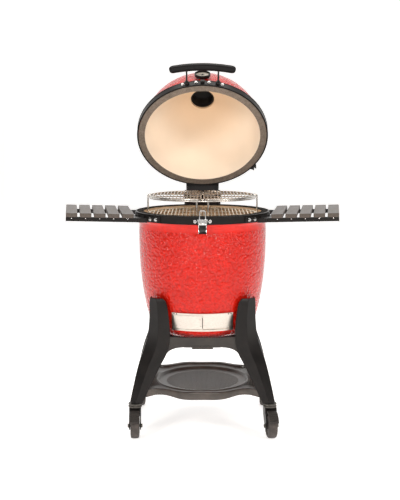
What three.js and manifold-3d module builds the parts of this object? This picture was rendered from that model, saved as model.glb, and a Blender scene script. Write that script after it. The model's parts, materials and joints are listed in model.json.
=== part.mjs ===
// Ceramic kamado grill on a wheeled cart, with its lid open.
// Millimetres, +Z up, +Y to the back, floor at z = 0.
import * as THREE from 'three';
import { mergeVertices } from 'three/addons/utils/BufferGeometryUtils.js';
import Module from 'manifold-3d';

const wasm = await Module();
wasm.setup();

// Ceramic body and lid
const RIM_HEIGHT = 890;
const BODY_RADIUS = 262;
const COLLAR_RADIUS = 270;
const COLLAR_HEIGHT = 36;
const WALL = 26;
const RIM_WALL = 27;
const FOOT_HEIGHT = 386;
const FOOT_RADIUS = 130;
const FOOT_ROUNDING = 64;
const BODY_TAPER = 63;
const FLOOR_THICKNESS = 28;
const DOME_HEIGHT = 291;
const VENT_SEAT_RADIUS = 86;
const VENT_HOLE_RADIUS = 52;

// Seals and clamp bands
const GASKET_THICKNESS = 3.4;
const GASKET_INSET = 0.5;
const BAND_THICKNESS = 6;
const BAND_HEIGHT = 26;
const BAND_OFFSET = 6;

// Lid hinge and how far the lid stands open
const LID_OPEN = THREE.MathUtils.degToRad(51);
const HINGE_REACH = 87;
const HINGE_RISE = 38;
const HINGE_PIN_RADIUS = 6;
const HINGE_HALF_WIDTH = 80;
const CHEEK_THICKNESS = 6;

// Handle on the lid's band
const HANDLE_LENGTH = 265;
const HANDLE_DEPTH = 30;
const HANDLE_REACH = 60;
const HANDLE_RISE = 40;
const HANDLE_BOW = 16;
const HANDLE_POST_SPACING = 128;
const HANDLE_POST_RADIUS = 6;

// Latch
const LATCH_WIDTH = 78;
const LATCH_LOOP_WIDTH = 23;
const LATCH_LOOP_HEIGHT = 52;
const LATCH_TAB_WIDTH = 31;
const LATCH_TAB_HEIGHT = 34;
const LATCH_WIRE_RADIUS = 1.6;

// Top vent and thermometer
const VENT_NECK_RADIUS = 47;
const VENT_WALL = 4;
const VENT_HEIGHT = 40;
const DIAL_RADIUS = 33;
const DIAL_DEPTH = 18;
const DIAL_ANGLE = THREE.MathUtils.degToRad(17);
const STEM_RADIUS = 3.5;
const STEM_LENGTH = 60;

// Inside the body
const FIREBOX_WALL = 20;
const FIREBOX_TOP = 650;
const FIREBOX_GAP = 6;
const CHARCOAL_GRATE_RADIUS = 138;
const CHARCOAL_GRATE_HEIGHT = 486;
const CHARCOAL_GRATE_THICKNESS = 12;
const GRATE_HEIGHT = 874;
const GRATE_RADIUS = 228;
const GRATE_RIM_RADIUS = 3.2;
const GRATE_WIRE_RADIUS = 2.4;
const GRATE_PITCH = 28;
const GRATE_SPLIT = 6;
const RACK_HEIGHT = 944;
const RACK_RADIUS = 216;
const RACK_LEG_RADIUS = 3;
const RACK_FOOT_SPACING = 46;

// Draft door low at the front
const DOOR_BOTTOM = 429;
const DOOR_TOP = 503;
const DOOR_HALF_ANGLE = 31;
const DOOR_RAIL = 7;
const DOOR_SHEET = 2;
const DOOR_SWEEP = 28;

// Cart
const LEG_TOP = 559;
const LEG_FOOT = 140;
const LEG_THICKNESS = 8;
const LEG_STATIONS = [
  { height: 140, side: 289, front: 221, wing: 51 },
  { height: 207, side: 275, front: 220, wing: 68 },
  { height: 286, side: 256, front: 218, wing: 87 },
  { height: 346, side: 236, front: 216, wing: 97 },
  { height: 405, side: 219, front: 216, wing: 90 },
  { height: 470, side: 212, front: 216, wing: 80 },
  { height: 535, side: 211, front: 215, wing: 70 },
  { height: 559, side: 208, front: 212, wing: 52 },
];
const PANEL_TOP = 402;
const PANEL_DEPTH = 42;
const PANEL_THICKNESS = 6;
const PANEL_HALF_WIDTH = 150;
const SHELF_TOP = 190;
const SHELF_SKIRT = 30;
const SHELF_SHEET = 4;
const SHELF_BULGE = 242;
const SHELF_BORDER = 24;
const SHELF_RECESS = 9;
const DISH_RADIUS = 193;
const DISH_DEPTH = 8;

// Casters
const WHEEL_RADIUS = 49;
const WHEEL_WIDTH = 34;
const AXLE_RADIUS = 5;
const CASTER_TRAIL = 26;
const FORK_SHEET = 4;
const FORK_TOP = 119;
const CASTER_SIDE = 269;
const CASTER_FRONT = 192;

// Side shelves
const SLAT_COUNT = 5;
const SLAT_WIDTH = 45;
const SLAT_PITCH = 55.1;
const SLAT_LENGTH = 377;
const SLAT_THICKNESS = 16;
const SHELF_YAW = THREE.MathUtils.degToRad(7.8);
const SHELF_RISE = THREE.MathUtils.degToRad(1.9);
const ARM_HEIGHT = 17;
const ARM_WIDTH = 14;
const ARM_INSET = 22;
const ARM_TIE = 5;
const SHELF_PIN_INSET = 26;
const SHELF_PIN_RADIUS = 3;
const LUG_THICKNESS = 5;
const SLAT_START = 271;
const SLAT_FRONT = 185;

// Clearances
const GAP = 0.3;
const RUNNING = 0.6;
const ROUND = 32;

const COLOURS = {
  red: { color: 0xd9382c, roughness: 0.25, metalness: 0 },
  cream: { color: 0xd9c5a4, roughness: 0.9, metalness: 0 },
  felt: { color: 0x80736a, roughness: 1, metalness: 0 },
  black: { color: 0x26221f, roughness: 0.5, metalness: 0.2 },
  steel: { color: 0xc9c4bc, roughness: 0.3, metalness: 1 },
  iron: { color: 0x3c3835, roughness: 0.8, metalness: 0.6 },
  slat: { color: 0x4a4441, roughness: 0.5, metalness: 0.1 },
  rubber: { color: 0x55504c, roughness: 0.8, metalness: 0 },
};

// ---- Solids: each helper returns a closed BufferGeometry -------------------------------------

// A closed solid from a geometry: shared corners merged, slivers dropped, faces turned outwards.
function toSolid(geometry) {
  const bare = geometry.clone();
  bare.deleteAttribute('normal');
  bare.deleteAttribute('uv');
  const merged = mergeVertices(bare, 1e-4);
  const corners = merged.getAttribute('position').array;
  const source = merged.index.array;
  const faces = [];
  let volume = 0;
  for (let i = 0; i < source.length; i += 3) {
    const [a, b, c] = [source[i], source[i + 1], source[i + 2]];
    if (a === b || b === c || c === a) continue;
    faces.push(a, b, c);
    const [p, q, r] = [a, b, c].map((n) => new THREE.Vector3().fromArray(corners, n * 3));
    volume += p.dot(q.cross(r));
  }
  if (volume < 0) faces.reverse();
  return new wasm.Manifold(new wasm.Mesh({
    numProp: 3,
    vertProperties: new Float32Array(corners),
    triVerts: new Uint32Array(faces),
  }));
}

function toGeometry(solid) {
  const mesh = solid.getMesh();
  const geometry = new THREE.BufferGeometry();
  geometry.setAttribute('position', new THREE.BufferAttribute(new Float32Array(mesh.vertProperties), 3));
  geometry.setIndex(new THREE.BufferAttribute(new Uint32Array(mesh.triVerts), 1));
  geometry.computeVertexNormals();
  return geometry;
}

function join(first, ...others) {
  return toGeometry(others.reduce((solid, other) => solid.add(toSolid(other)), toSolid(first)));
}

function cut(first, ...others) {
  return toGeometry(others.reduce((solid, other) => solid.subtract(toSolid(other)), toSolid(first)));
}

function common(first, second) {
  return toGeometry(toSolid(first).intersect(toSolid(second)));
}

function block(width, depth, height, x = 0, y = 0, z = 0) {
  return new THREE.BoxGeometry(width, depth, height).translate(x, y, z);
}

// A round bar between two points, or a tapered one when a second radius is given.
function rod(from, to, radius, sides = 12) {
  const start = new THREE.Vector3(...from);
  const along = new THREE.Vector3(...to).sub(start);
  const geometry = new THREE.CylinderGeometry(radius, radius, along.length(), sides);
  const turn = new THREE.Quaternion().setFromUnitVectors(
    new THREE.Vector3(0, 1, 0),
    along.clone().normalize(),
  );
  return geometry.applyQuaternion(turn).translate(...start.addScaledVector(along, 0.5).toArray());
}

// A body turned about Z from an outline of [radius, height] points.
function turned(outline, segments = ROUND) {
  const onAxis = outline[0][0] === 0 && outline.at(-1)[0] === 0;
  const closed = onAxis ? outline : [...outline, outline[0]];
  const profile = closed.map(([radius, height]) => new THREE.Vector2(radius, height));
  return new THREE.LatheGeometry(profile, segments).rotateX(Math.PI / 2);
}

// A flat outline of [x, y] points given a thickness upwards from z.
function plate(outline, thickness, z = 0) {
  const shape = new THREE.Shape(outline.map(([x, y]) => new THREE.Vector2(x, y)));
  return new THREE.ExtrudeGeometry(shape, { depth: thickness, bevelEnabled: false }).translate(0, 0, z);
}

// The same outline standing up: [y, z] points with a thickness along X, centred on x.
function cheek(outline, thickness, x) {
  const flat = plate(outline, thickness, -thickness / 2);
  const standing = new THREE.Matrix4().makeBasis(
    new THREE.Vector3(0, 1, 0),
    new THREE.Vector3(0, 0, 1),
    new THREE.Vector3(1, 0, 0),
  );
  return flat.applyMatrix4(standing).translate(x, 0, 0);
}

// An outline of [x, z] points with a thickness along Y, starting at y.
function frontPlate(outline, thickness, y) {
  return plate(outline, thickness).rotateX(Math.PI / 2).translate(0, y + thickness, 0);
}

// A wedge of a full turn, from one angle to another, measured from the front towards +X.
function wedge(fromDegrees, toDegrees, bottom, top) {
  const reach = 2 * COLLAR_RADIUS;
  const outline = [[0, 0]];
  const steps = 4;
  for (let i = 0; i <= steps; i += 1) {
    const angle = THREE.MathUtils.degToRad(fromDegrees + ((toDegrees - fromDegrees) * i) / steps);
    outline.push([reach * Math.sin(angle), -reach * Math.cos(angle)]);
  }
  return plate(outline, top - bottom, bottom);
}

function mirrored(geometry, x, y) {
  return geometry.clone().scale(x, y, 1);
}

// A quarter of an ellipse between two radii and two heights, as [radius, height] points.
function quarter(centreRadius, centreHeight, across, up, fromDegrees, toDegrees, steps) {
  return Array.from({ length: steps + 1 }, (_, i) => {
    const angle = THREE.MathUtils.degToRad(fromDegrees + ((toDegrees - fromDegrees) * i) / steps);
    return [centreRadius + across * Math.cos(angle), centreHeight + up * Math.sin(angle)];
  });
}

function piece(name, geometry, finish, parent, position = [0, 0, 0]) {
  const mesh = new THREE.Mesh(toGeometry(toSolid(geometry)), new THREE.MeshStandardMaterial(COLOURS[finish]));
  mesh.name = name;
  mesh.position.set(...position);
  parent.add(mesh);
  return mesh;
}

// ---- Ceramic body --------------------------------------------------------------------------

const COLLAR_BOTTOM = RIM_HEIGHT - COLLAR_HEIGHT;
const RIM_SEAT = GASKET_THICKNESS + 2 * GAP;
const BAND_INNER = COLLAR_RADIUS + GAP;
const BAND_RADIUS = BAND_INNER + BAND_THICKNESS;
const TAPER_HEIGHT = COLLAR_BOTTOM - FOOT_HEIGHT;

// The body's outside radius narrows towards its foot.
function bodyRadius(height) {
  const drop = Math.max(0, COLLAR_BOTTOM - height) / TAPER_HEIGHT;
  return BODY_RADIUS - BODY_TAPER * drop ** 2.8;
}

function wallHeights(from, to, steps) {
  return Array.from({ length: steps + 1 }, (_, i) => from + ((to - from) * i) / steps);
}

function baseBowl() {
  const roundingTop = FOOT_HEIGHT + FOOT_ROUNDING;
  const across = bodyRadius(roundingTop) - FOOT_RADIUS;
  const floor = FOOT_HEIGHT + FLOOR_THICKNESS;
  const outside = wallHeights(roundingTop, COLLAR_BOTTOM - 8, 5).map((z) => [bodyRadius(z), z]);
  const inside = wallHeights(roundingTop, COLLAR_BOTTOM, 4).map((z) => [bodyRadius(z) - WALL, z]);
  return turned([
    [0, FOOT_HEIGHT],
    ...quarter(FOOT_RADIUS, roundingTop, across, FOOT_ROUNDING, -90, -22, 3),
    ...outside,
    [COLLAR_RADIUS, COLLAR_BOTTOM],
    [COLLAR_RADIUS, RIM_HEIGHT - RIM_SEAT],
    [COLLAR_RADIUS - RIM_WALL, RIM_HEIGHT - RIM_SEAT],
    ...inside.reverse(),
    [FOOT_RADIUS + 22, floor],
    [0, floor],
  ]);
}

function draftOpening() {
  const bottom = DOOR_BOTTOM + 2 * DOOR_RAIL;
  const top = DOOR_TOP - 2 * DOOR_RAIL;
  const halfWidth = bodyRadius(DOOR_BOTTOM) * Math.sin(THREE.MathUtils.degToRad(DOOR_HALF_ANGLE - 6));
  const depth = BODY_RADIUS;
  return block(2 * halfWidth, depth, top - bottom, 0, -depth / 2 - FOOT_RADIUS, (top + bottom) / 2);
}

function gasket(side) {
  const from = side * GAP;
  const to = side * (GAP + GASKET_THICKNESS);
  const outer = COLLAR_RADIUS - GASKET_INSET;
  const inner = COLLAR_RADIUS - RIM_WALL + GASKET_INSET;
  return turned([[inner, from], [outer, from], [outer, to], [inner, to]]);
}

function band(side) {
  const from = side * BAND_OFFSET;
  const to = side * (BAND_OFFSET + BAND_HEIGHT);
  return turned([[BAND_INNER, from], [BAND_RADIUS, from], [BAND_RADIUS, to], [BAND_INNER, to]]);
}

// Everything within the band's outside face, which the pieces bolted to it are cut clear of.
function insideBand(from, to) {
  const radius = BAND_RADIUS + GAP;
  return turned([[0, from], [radius, from], [radius, to], [0, to]]);
}

function addCeramicBody(grill) {
  piece('base_bowl', cut(baseBowl(), draftOpening()), 'red', grill);
  piece('base_gasket', gasket(-1), 'felt', grill, [0, 0, RIM_HEIGHT]);
  piece('lower_band', band(-1), 'black', grill, [0, 0, RIM_HEIGHT]);
}

// ---- Fire parts inside the body --------------------------------------------------------------

function fireboxRadius(height) {
  return bodyRadius(height) - WALL - FIREBOX_GAP;
}

function firebox() {
  const bottom = FOOT_HEIGHT + FLOOR_THICKNESS + GAP;
  const ledge = CHARCOAL_GRATE_HEIGHT - GAP;
  const shoulder = FOOT_HEIGHT + FOOT_ROUNDING + 10;
  const outside = wallHeights(shoulder, FIREBOX_TOP, 3).map((z) => [fireboxRadius(z), z]);
  const inside = wallHeights(ledge + 30, FIREBOX_TOP, 2).map((z) => [fireboxRadius(z) - FIREBOX_WALL, z]);
  const shell = turned([
    [CHARCOAL_GRATE_RADIUS - 14, bottom],
    [FOOT_RADIUS + 16, bottom],
    ...outside,
    ...inside.reverse(),
    [CHARCOAL_GRATE_RADIUS + 6, ledge],
    [CHARCOAL_GRATE_RADIUS - 14, ledge],
  ]);
  return cut(shell, draftOpening());
}

function fireRing() {
  const bottom = FIREBOX_TOP + GAP;
  const top = GRATE_HEIGHT - GAP;
  const outer = fireboxRadius(FIREBOX_TOP);
  const seat = Math.max(outer, GRATE_RADIUS);
  return turned([
    [outer - FIREBOX_WALL, bottom],
    [outer, bottom],
    [seat, top - 40],
    [seat, top],
    [seat - FIREBOX_WALL, top],
    [seat - FIREBOX_WALL, top - 40],
  ]);
}

function charcoalGrate() {
  const disc = turned([
    [0, CHARCOAL_GRATE_HEIGHT],
    [CHARCOAL_GRATE_RADIUS, CHARCOAL_GRATE_HEIGHT],
    [CHARCOAL_GRATE_RADIUS, CHARCOAL_GRATE_HEIGHT + CHARCOAL_GRATE_THICKNESS],
    [0, CHARCOAL_GRATE_HEIGHT + CHARCOAL_GRATE_THICKNESS],
  ], 24);
  const slots = [-90, -60, -30, 0, 30, 60, 90].map((x) => {
    const length = 2 * Math.sqrt(CHARCOAL_GRATE_RADIUS ** 2 - x ** 2) - 44;
    return block(14, length, 3 * CHARCOAL_GRATE_THICKNESS, x, 0, CHARCOAL_GRATE_HEIGHT);
  });
  return cut(disc, ...slots);
}

// A half-moon grate: half a rim wire, a straight wire along the split, and the wires it carries.
function halfMoon(radius, rimRadius, wireRadius, pitch, side) {
  const centre = radius - rimRadius;
  const rim = turned(quarter(centre, 0, rimRadius, rimRadius, 0, 270, 3), 24);
  const half = block(radius, 3 * radius, 4 * rimRadius, side * (radius / 2 + GRATE_SPLIT / 2), 0, 0);
  const inner = GRATE_SPLIT / 2 + rimRadius;
  const reach = Math.sqrt(centre ** 2 - inner ** 2);
  const parts = [rod([side * inner, -reach, 0], [side * inner, reach, 0], rimRadius, 4)];
  const count = Math.floor((centre - inner) / pitch);
  for (let i = 1; i <= count; i += 1) {
    const x = inner + i * pitch;
    const chord = Math.sqrt(Math.max(0, centre ** 2 - x ** 2));
    if (chord > 3 * pitch) {
      parts.push(rod([side * x, -chord, 0], [side * x, chord, 0], wireRadius, 4));
    }
  }
  const below = -0.25 * wireRadius;
  const crossWire = rod([side * inner, 0, below], [side * centre, 0, below], wireRadius, 4);
  return join(common(rim, half), crossWire, ...parts);
}

function rackFrame() {
  const ringRadius = RACK_RADIUS + 5;
  const legRadius = ringRadius + 4;
  const foot = GRATE_HEIGHT + 2 * GRATE_RIM_RADIUS + GAP - RACK_HEIGHT;
  const ring = turned(quarter(ringRadius, 0, RACK_LEG_RADIUS, RACK_LEG_RADIUS, 0, 270, 3), 24);
  const barShare = 0.62;
  const bars = [-1, 1].map((end) => {
    const y = end * barShare * ringRadius;
    const x = Math.sqrt(ringRadius ** 2 - y ** 2);
    return rod([-x, y, 0], [x, y, 0], RACK_LEG_RADIUS, 6);
  });
  const sideLegs = [-1, 1].map((side) => join(
    rod([side * legRadius, 0, foot], [side * legRadius, 0, 10], RACK_LEG_RADIUS, 6),
    rod([side * ringRadius, 0, 0], [side * (legRadius + 1), 0, 8], RACK_LEG_RADIUS, 6),
  ));
  const feet = [[-1, -1], [1, -1], [-1, 1], [1, 1]].map(([side, end]) => {
    const x = side * RACK_FOOT_SPACING / 2;
    const y = end * barShare * ringRadius;
    return rod([x, y, foot], [x, y, 0], RACK_LEG_RADIUS, 6);
  });
  return join(ring, ...bars, ...sideLegs, ...feet);
}

function addFireParts(grill) {
  piece('firebox', firebox(), 'cream', grill);
  piece('fire_ring', fireRing(), 'cream', grill);
  piece('charcoal_grate', charcoalGrate(), 'iron', grill);
  const rackTop = RACK_HEIGHT + RACK_LEG_RADIUS + GRATE_RIM_RADIUS + GAP;
  for (const [word, side] of [['left', -1], ['right', 1]]) {
    const main = halfMoon(GRATE_RADIUS, GRATE_RIM_RADIUS, GRATE_WIRE_RADIUS, GRATE_PITCH, side);
    piece(`main_grate_${word}`, main, 'steel', grill, [0, 0, GRATE_HEIGHT + GRATE_RIM_RADIUS]);
    const upper = halfMoon(RACK_RADIUS + 5, GRATE_RIM_RADIUS, GRATE_WIRE_RADIUS, GRATE_PITCH, side);
    piece(`rack_grate_${word}`, upper, 'steel', grill, [0, 0, rackTop]);
  }
  piece('rack_frame', rackFrame(), 'steel', grill, [0, 0, RACK_HEIGHT]);
}

// ---- Draft door ------------------------------------------------------------------------------

// A curved sheet lying on the body, a given distance off it.
function skin(offset, thickness, bottom, top) {
  return turned([
    [bodyRadius(bottom) + offset, bottom],
    [bodyRadius(bottom) + offset + thickness, bottom],
    [bodyRadius(top) + offset + thickness, top],
    [bodyRadius(top) + offset, top],
  ], 60);
}

function sheetOver(offset, thickness, bottom, top, from, to) {
  return common(skin(offset, thickness, bottom, top), wedge(from, to, bottom - 5, top + 5));
}

function addDraftDoor(grill) {
  const lift = 2;
  const slide = 1;
  const doorOffset = lift + DOOR_SHEET + slide;
  const railDepth = DOOR_SHEET * 2 + slide * 2;
  const halfWidth = (bodyRadius(DOOR_TOP) + lift) * Math.sin(THREE.MathUtils.degToRad(DOOR_HALF_ANGLE));
  const front = block(2 * halfWidth, COLLAR_RADIUS, 2 * DOOR_TOP, 0, -COLLAR_RADIUS / 2 - 60, DOOR_TOP);
  const framed = (depth, bottom, top) => common(skin(lift, depth, bottom, top), front);
  const sheet = framed(DOOR_SHEET, DOOR_BOTTOM, DOOR_TOP);
  const lowRail = framed(railDepth, DOOR_BOTTOM, DOOR_BOTTOM + DOOR_RAIL);
  const topRail = framed(railDepth, DOOR_TOP - DOOR_RAIL, DOOR_TOP);
  const window = wedge(-DOOR_SWEEP + 3, -3, DOOR_BOTTOM + 2 * DOOR_RAIL, DOOR_TOP - 2 * DOOR_RAIL);
  piece('draft_door_frame', cut(join(sheet, lowRail, topRail), window), 'steel', grill);
  const bottom = DOOR_BOTTOM + DOOR_RAIL + 1.5;
  const top = DOOR_TOP - DOOR_RAIL - 1.5;
  const door = sheetOver(doorOffset, DOOR_SHEET, bottom, top, -DOOR_SWEEP - 0.5, 0.5);
  const grip = sheetOver(doorOffset, 9, bottom + 4, top - 4, -0.3, 0.5);
  piece('draft_door', join(door, grip), 'steel', grill);
}

// ---- Lid, modelled closed and then swung open about the hinge -----------------------------------

function lidDome() {
  const seat = Math.sqrt(1 - (VENT_SEAT_RADIUS / BODY_RADIUS) ** 2) * DOME_HEIGHT;
  const start = THREE.MathUtils.radToDeg(Math.asin((COLLAR_HEIGHT + 8) / DOME_HEIGHT));
  const end = THREE.MathUtils.radToDeg(Math.acos(VENT_SEAT_RADIUS / BODY_RADIUS));
  const innerRadius = BODY_RADIUS - WALL;
  const innerHeight = DOME_HEIGHT - WALL;
  const innerEnd = THREE.MathUtils.radToDeg(Math.acos(VENT_HOLE_RADIUS / innerRadius));
  const outside = quarter(0, 0, BODY_RADIUS, DOME_HEIGHT, start, end, 7);
  const inside = quarter(0, 0, innerRadius, innerHeight, 12, innerEnd, 6);
  return turned([
    [COLLAR_RADIUS - RIM_WALL, RIM_SEAT],
    [COLLAR_RADIUS, RIM_SEAT],
    [COLLAR_RADIUS, COLLAR_HEIGHT],
    ...outside,
    [VENT_SEAT_RADIUS - 6, seat + 8],
    [VENT_HOLE_RADIUS, seat + 8],
    ...inside.reverse(),
  ]);
}

// Where a point and its outward direction lie on the dome's front at the dial.
function dialPlace() {
  const point = new THREE.Vector3(0, -BODY_RADIUS * Math.cos(DIAL_ANGLE), DOME_HEIGHT * Math.sin(DIAL_ANGLE));
  const out = new THREE.Vector3(0, -Math.cos(DIAL_ANGLE) / BODY_RADIUS, Math.sin(DIAL_ANGLE) / DOME_HEIGHT);
  return { point, out: out.normalize() };
}

function alongDial(geometry) {
  const { point, out } = dialPlace();
  const turn = new THREE.Quaternion().setFromUnitVectors(new THREE.Vector3(0, 0, 1), out);
  return geometry.applyQuaternion(turn).translate(...point.toArray());
}

function thermometerBody() {
  const cup = turned([
    [0, 3],
    [DIAL_RADIUS - 4, 3],
    [DIAL_RADIUS, 8],
    [DIAL_RADIUS, DIAL_DEPTH],
    [DIAL_RADIUS - 3, DIAL_DEPTH],
    [DIAL_RADIUS - 3, DIAL_DEPTH - 7],
    [0, DIAL_DEPTH - 7],
  ], 24);
  return alongDial(join(cup, rod([0, 0, -STEM_LENGTH], [0, 0, 5], STEM_RADIUS, 8)));
}

function thermometerNeedle() {
  const from = DIAL_DEPTH - 7 + 1;
  const hub = rod([0, 0, from], [0, 0, from + 3], 4, 10);
  return alongDial(join(hub, block(DIAL_RADIUS - 9, 2.4, 1.2, -8, 0, from + 1.5)));
}

function handleBar() {
  const reach = BAND_RADIUS + HANDLE_REACH;
  const height = HANDLE_RISE;
  const bow = (x) => -reach + HANDLE_BOW * (2 * x / HANDLE_LENGTH) ** 2;
  const points = wallHeights(-HANDLE_LENGTH / 2, HANDLE_LENGTH / 2, 8).map(
    (x) => new THREE.Vector3(x, bow(x), height),
  );
  const section = new THREE.Shape();
  section.absellipse(0, 0, HANDLE_DEPTH / 2, HANDLE_DEPTH / 2, 0, 2 * Math.PI);
  const bar = new THREE.ExtrudeGeometry(section, {
    steps: 8,
    curveSegments: 6,
    bevelEnabled: false,
    extrudePath: new THREE.CatmullRomCurve3(points),
  });
  const posts = [-1, 1].map((side) => {
    const x = (side * HANDLE_POST_SPACING) / 2;
    const foot = Math.sqrt((BAND_RADIUS + 1) ** 2 - x ** 2);
    const bandMiddle = BAND_OFFSET + BAND_HEIGHT / 2;
    return join(
      rod([x, -foot - 3, bandMiddle], [x, bow(x), height], HANDLE_POST_RADIUS, 8),
      rod([x, -foot, bandMiddle], [x, -foot - 8, bandMiddle], 11, 12),
    );
  });
  const clearOfBand = insideBand(-5, 60);
  return cut(join(bar, ...posts), clearOfBand);
}

// Two cheeks joined by a seat behind the band and a web between them, with the pin passing through.
function hingeBracket(outline, webOutline, halfWidth, seatMiddle) {
  const pinY = BAND_RADIUS + HINGE_REACH;
  const cheekX = halfWidth - CHEEK_THICKNESS / 2;
  const cheeks = [-1, 1].map((hand) => cheek(outline, CHEEK_THICKNESS, hand * cheekX));
  const seat = block(2 * halfWidth, 40, BAND_HEIGHT, 0, BAND_RADIUS - 12, seatMiddle);
  const web = cheek(webOutline, 2 * halfWidth, 0);
  const end = halfWidth + 5;
  const pinHole = rod([-end, pinY, HINGE_RISE], [end, pinY, HINGE_RISE], HINGE_PIN_RADIUS + RUNNING, 16);
  const clearOfBand = insideBand(-60, 80);
  return cut(join(...cheeks, seat, web), clearOfBand, pinHole);
}

function lowerBracket() {
  const pinY = BAND_RADIUS + HINGE_REACH;
  const foot = BAND_RADIUS - 30;
  const high = -BAND_OFFSET;
  const low = high - BAND_HEIGHT;
  const outline = [
    [foot, low],
    [pinY - 20, low + 6],
    [pinY + 20, HINGE_RISE - 8],
    [pinY + 12, HINGE_RISE + 16],
    [pinY - 12, HINGE_RISE + 16],
    [foot + 34, high + 4],
    [foot, high],
  ];
  const web = [
    [foot + 46, low + 4],
    [foot + 52, low + 4],
    [foot + 52, 0],
    [foot + 46, 0],
    [foot + 46, low + 16],
    [foot + 34, high],
    [foot + 30, low + 4],
  ];
  return hingeBracket(outline, web, HINGE_HALF_WIDTH, (low + high) / 2);
}

function upperBracket() {
  const pinY = BAND_RADIUS + HINGE_REACH;
  const foot = BAND_RADIUS - 30;
  const low = BAND_OFFSET;
  const high = low + BAND_HEIGHT;
  const outline = [
    [foot, low],
    [foot + 40, low],
    [pinY, HINGE_RISE - 16],
    [pinY + 14, HINGE_RISE - 8],
    [pinY + 14, HINGE_RISE + 8],
    [pinY, HINGE_RISE + 16],
    [foot + 24, high + 14],
    [foot, high],
  ];
  const web = [
    [foot + 20, high - 6],
    [pinY - 18, HINGE_RISE - 8],
    [pinY - 18, HINGE_RISE - 2],
    [foot + 20, high],
  ];
  return hingeBracket(outline, web, HINGE_HALF_WIDTH - CHEEK_THICKNESS - 2, (low + high) / 2);
}

function hingePin() {
  const end = HINGE_HALF_WIDTH + 3;
  const pin = rod([-end, 0, 0], [end, 0, 0], HINGE_PIN_RADIUS, 16);
  const cheekFace = HINGE_HALF_WIDTH + GAP;
  const heads = [-1, 1].map((side) => rod([side * cheekFace, 0, 0], [side * (end + 3), 0, 0], 10, 12));
  return join(pin, ...heads);
}

function hingeSpring() {
  const half = HINGE_HALF_WIDTH - 2 * CHEEK_THICKNESS - 6;
  const inner = HINGE_PIN_RADIUS + RUNNING;
  const outer = inner + 8;
  return turned([[inner, -half], [outer, -half], [outer, half], [inner, half]], 16).rotateY(Math.PI / 2);
}

function ventBase() {
  const seat = Math.sqrt(1 - (VENT_SEAT_RADIUS / BODY_RADIUS) ** 2) * DOME_HEIGHT + 8 + GAP;
  const outer = VENT_NECK_RADIUS + VENT_WALL;
  const shell = turned([
    [VENT_NECK_RADIUS, seat - 14],
    [outer, seat - 14],
    [outer, seat],
    [VENT_SEAT_RADIUS - 8, seat],
    [VENT_SEAT_RADIUS - 8, seat + 6],
    [outer, seat + 6],
    [outer, seat + VENT_HEIGHT],
    [VENT_NECK_RADIUS, seat + VENT_HEIGHT],
  ], 24);
  return cut(shell, ventWindows(seat));
}

// The two facing windows that line up when the cap is turned to its open mark.
function ventWindows(seat, turn = 0) {
  const windowPlate = block(4 * VENT_NECK_RADIUS, VENT_NECK_RADIUS, 18, 0, 0, seat + 22);
  return windowPlate.rotateZ(turn);
}

function ventCap() {
  const seat = Math.sqrt(1 - (VENT_SEAT_RADIUS / BODY_RADIUS) ** 2) * DOME_HEIGHT + 8 + GAP;
  const inner = VENT_NECK_RADIUS + VENT_WALL + RUNNING;
  const outer = inner + VENT_WALL;
  const top = seat + VENT_HEIGHT + GAP;
  const cap = turned([
    [inner, seat + 7],
    [outer, seat + 7],
    [outer, top + 2],
    [outer - 10, top + 10],
    [14, top + 14],
    [12, top + 26],
    [0, top + 28],
    [0, top],
    [inner, top],
  ], 24);
  return cut(cap, ventWindows(seat, Math.PI / 2));
}

function latchStrike() {
  const bandMiddle = BAND_OFFSET + BAND_HEIGHT / 2;
  return block(LATCH_LOOP_WIDTH - 6, 12, 12, 0, -BAND_RADIUS - 3, bandMiddle);
}

function addLid(grill) {
  const pivot = [0, BAND_RADIUS + HINGE_REACH, RIM_HEIGHT + HINGE_RISE];
  const lid = new THREE.Group();
  lid.position.set(...pivot);
  lid.rotation.x = -LID_OPEN;
  grill.add(lid);
  const closed = [0, -pivot[1], -HINGE_RISE];
  const { point, out } = dialPlace();
  const inward = point.clone().addScaledVector(out, -2 * STEM_LENGTH);
  const outward = point.clone().addScaledVector(out, STEM_LENGTH);
  const stemHole = rod(inward.toArray(), outward.toArray(), STEM_RADIUS + 2, 12);
  piece('lid_dome', cut(lidDome(), stemHole), 'red', lid, closed);
  piece('lid_gasket', gasket(1), 'felt', lid, closed);
  piece('upper_band', join(band(1), latchStrike()), 'black', lid, closed);
  piece('hinge_upper_bracket', upperBracket(), 'black', lid, closed);
  piece('lid_handle', handleBar(), 'black', lid, closed);
  piece('vent_base', ventBase(), 'black', lid, closed);
  piece('vent_cap', ventCap(), 'black', lid, closed);
  piece('thermometer_body', thermometerBody(), 'steel', lid, closed);
  piece('thermometer_needle', thermometerNeedle(), 'black', lid, closed);
  piece('hinge_lower_bracket', lowerBracket(), 'black', grill, [0, 0, RIM_HEIGHT]);
  piece('hinge_pin', hingePin(), 'steel', grill, pivot);
  piece('hinge_spring', hingeSpring(), 'steel', grill, pivot);
}

// ---- Latch on the lower band -------------------------------------------------------------------

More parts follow.
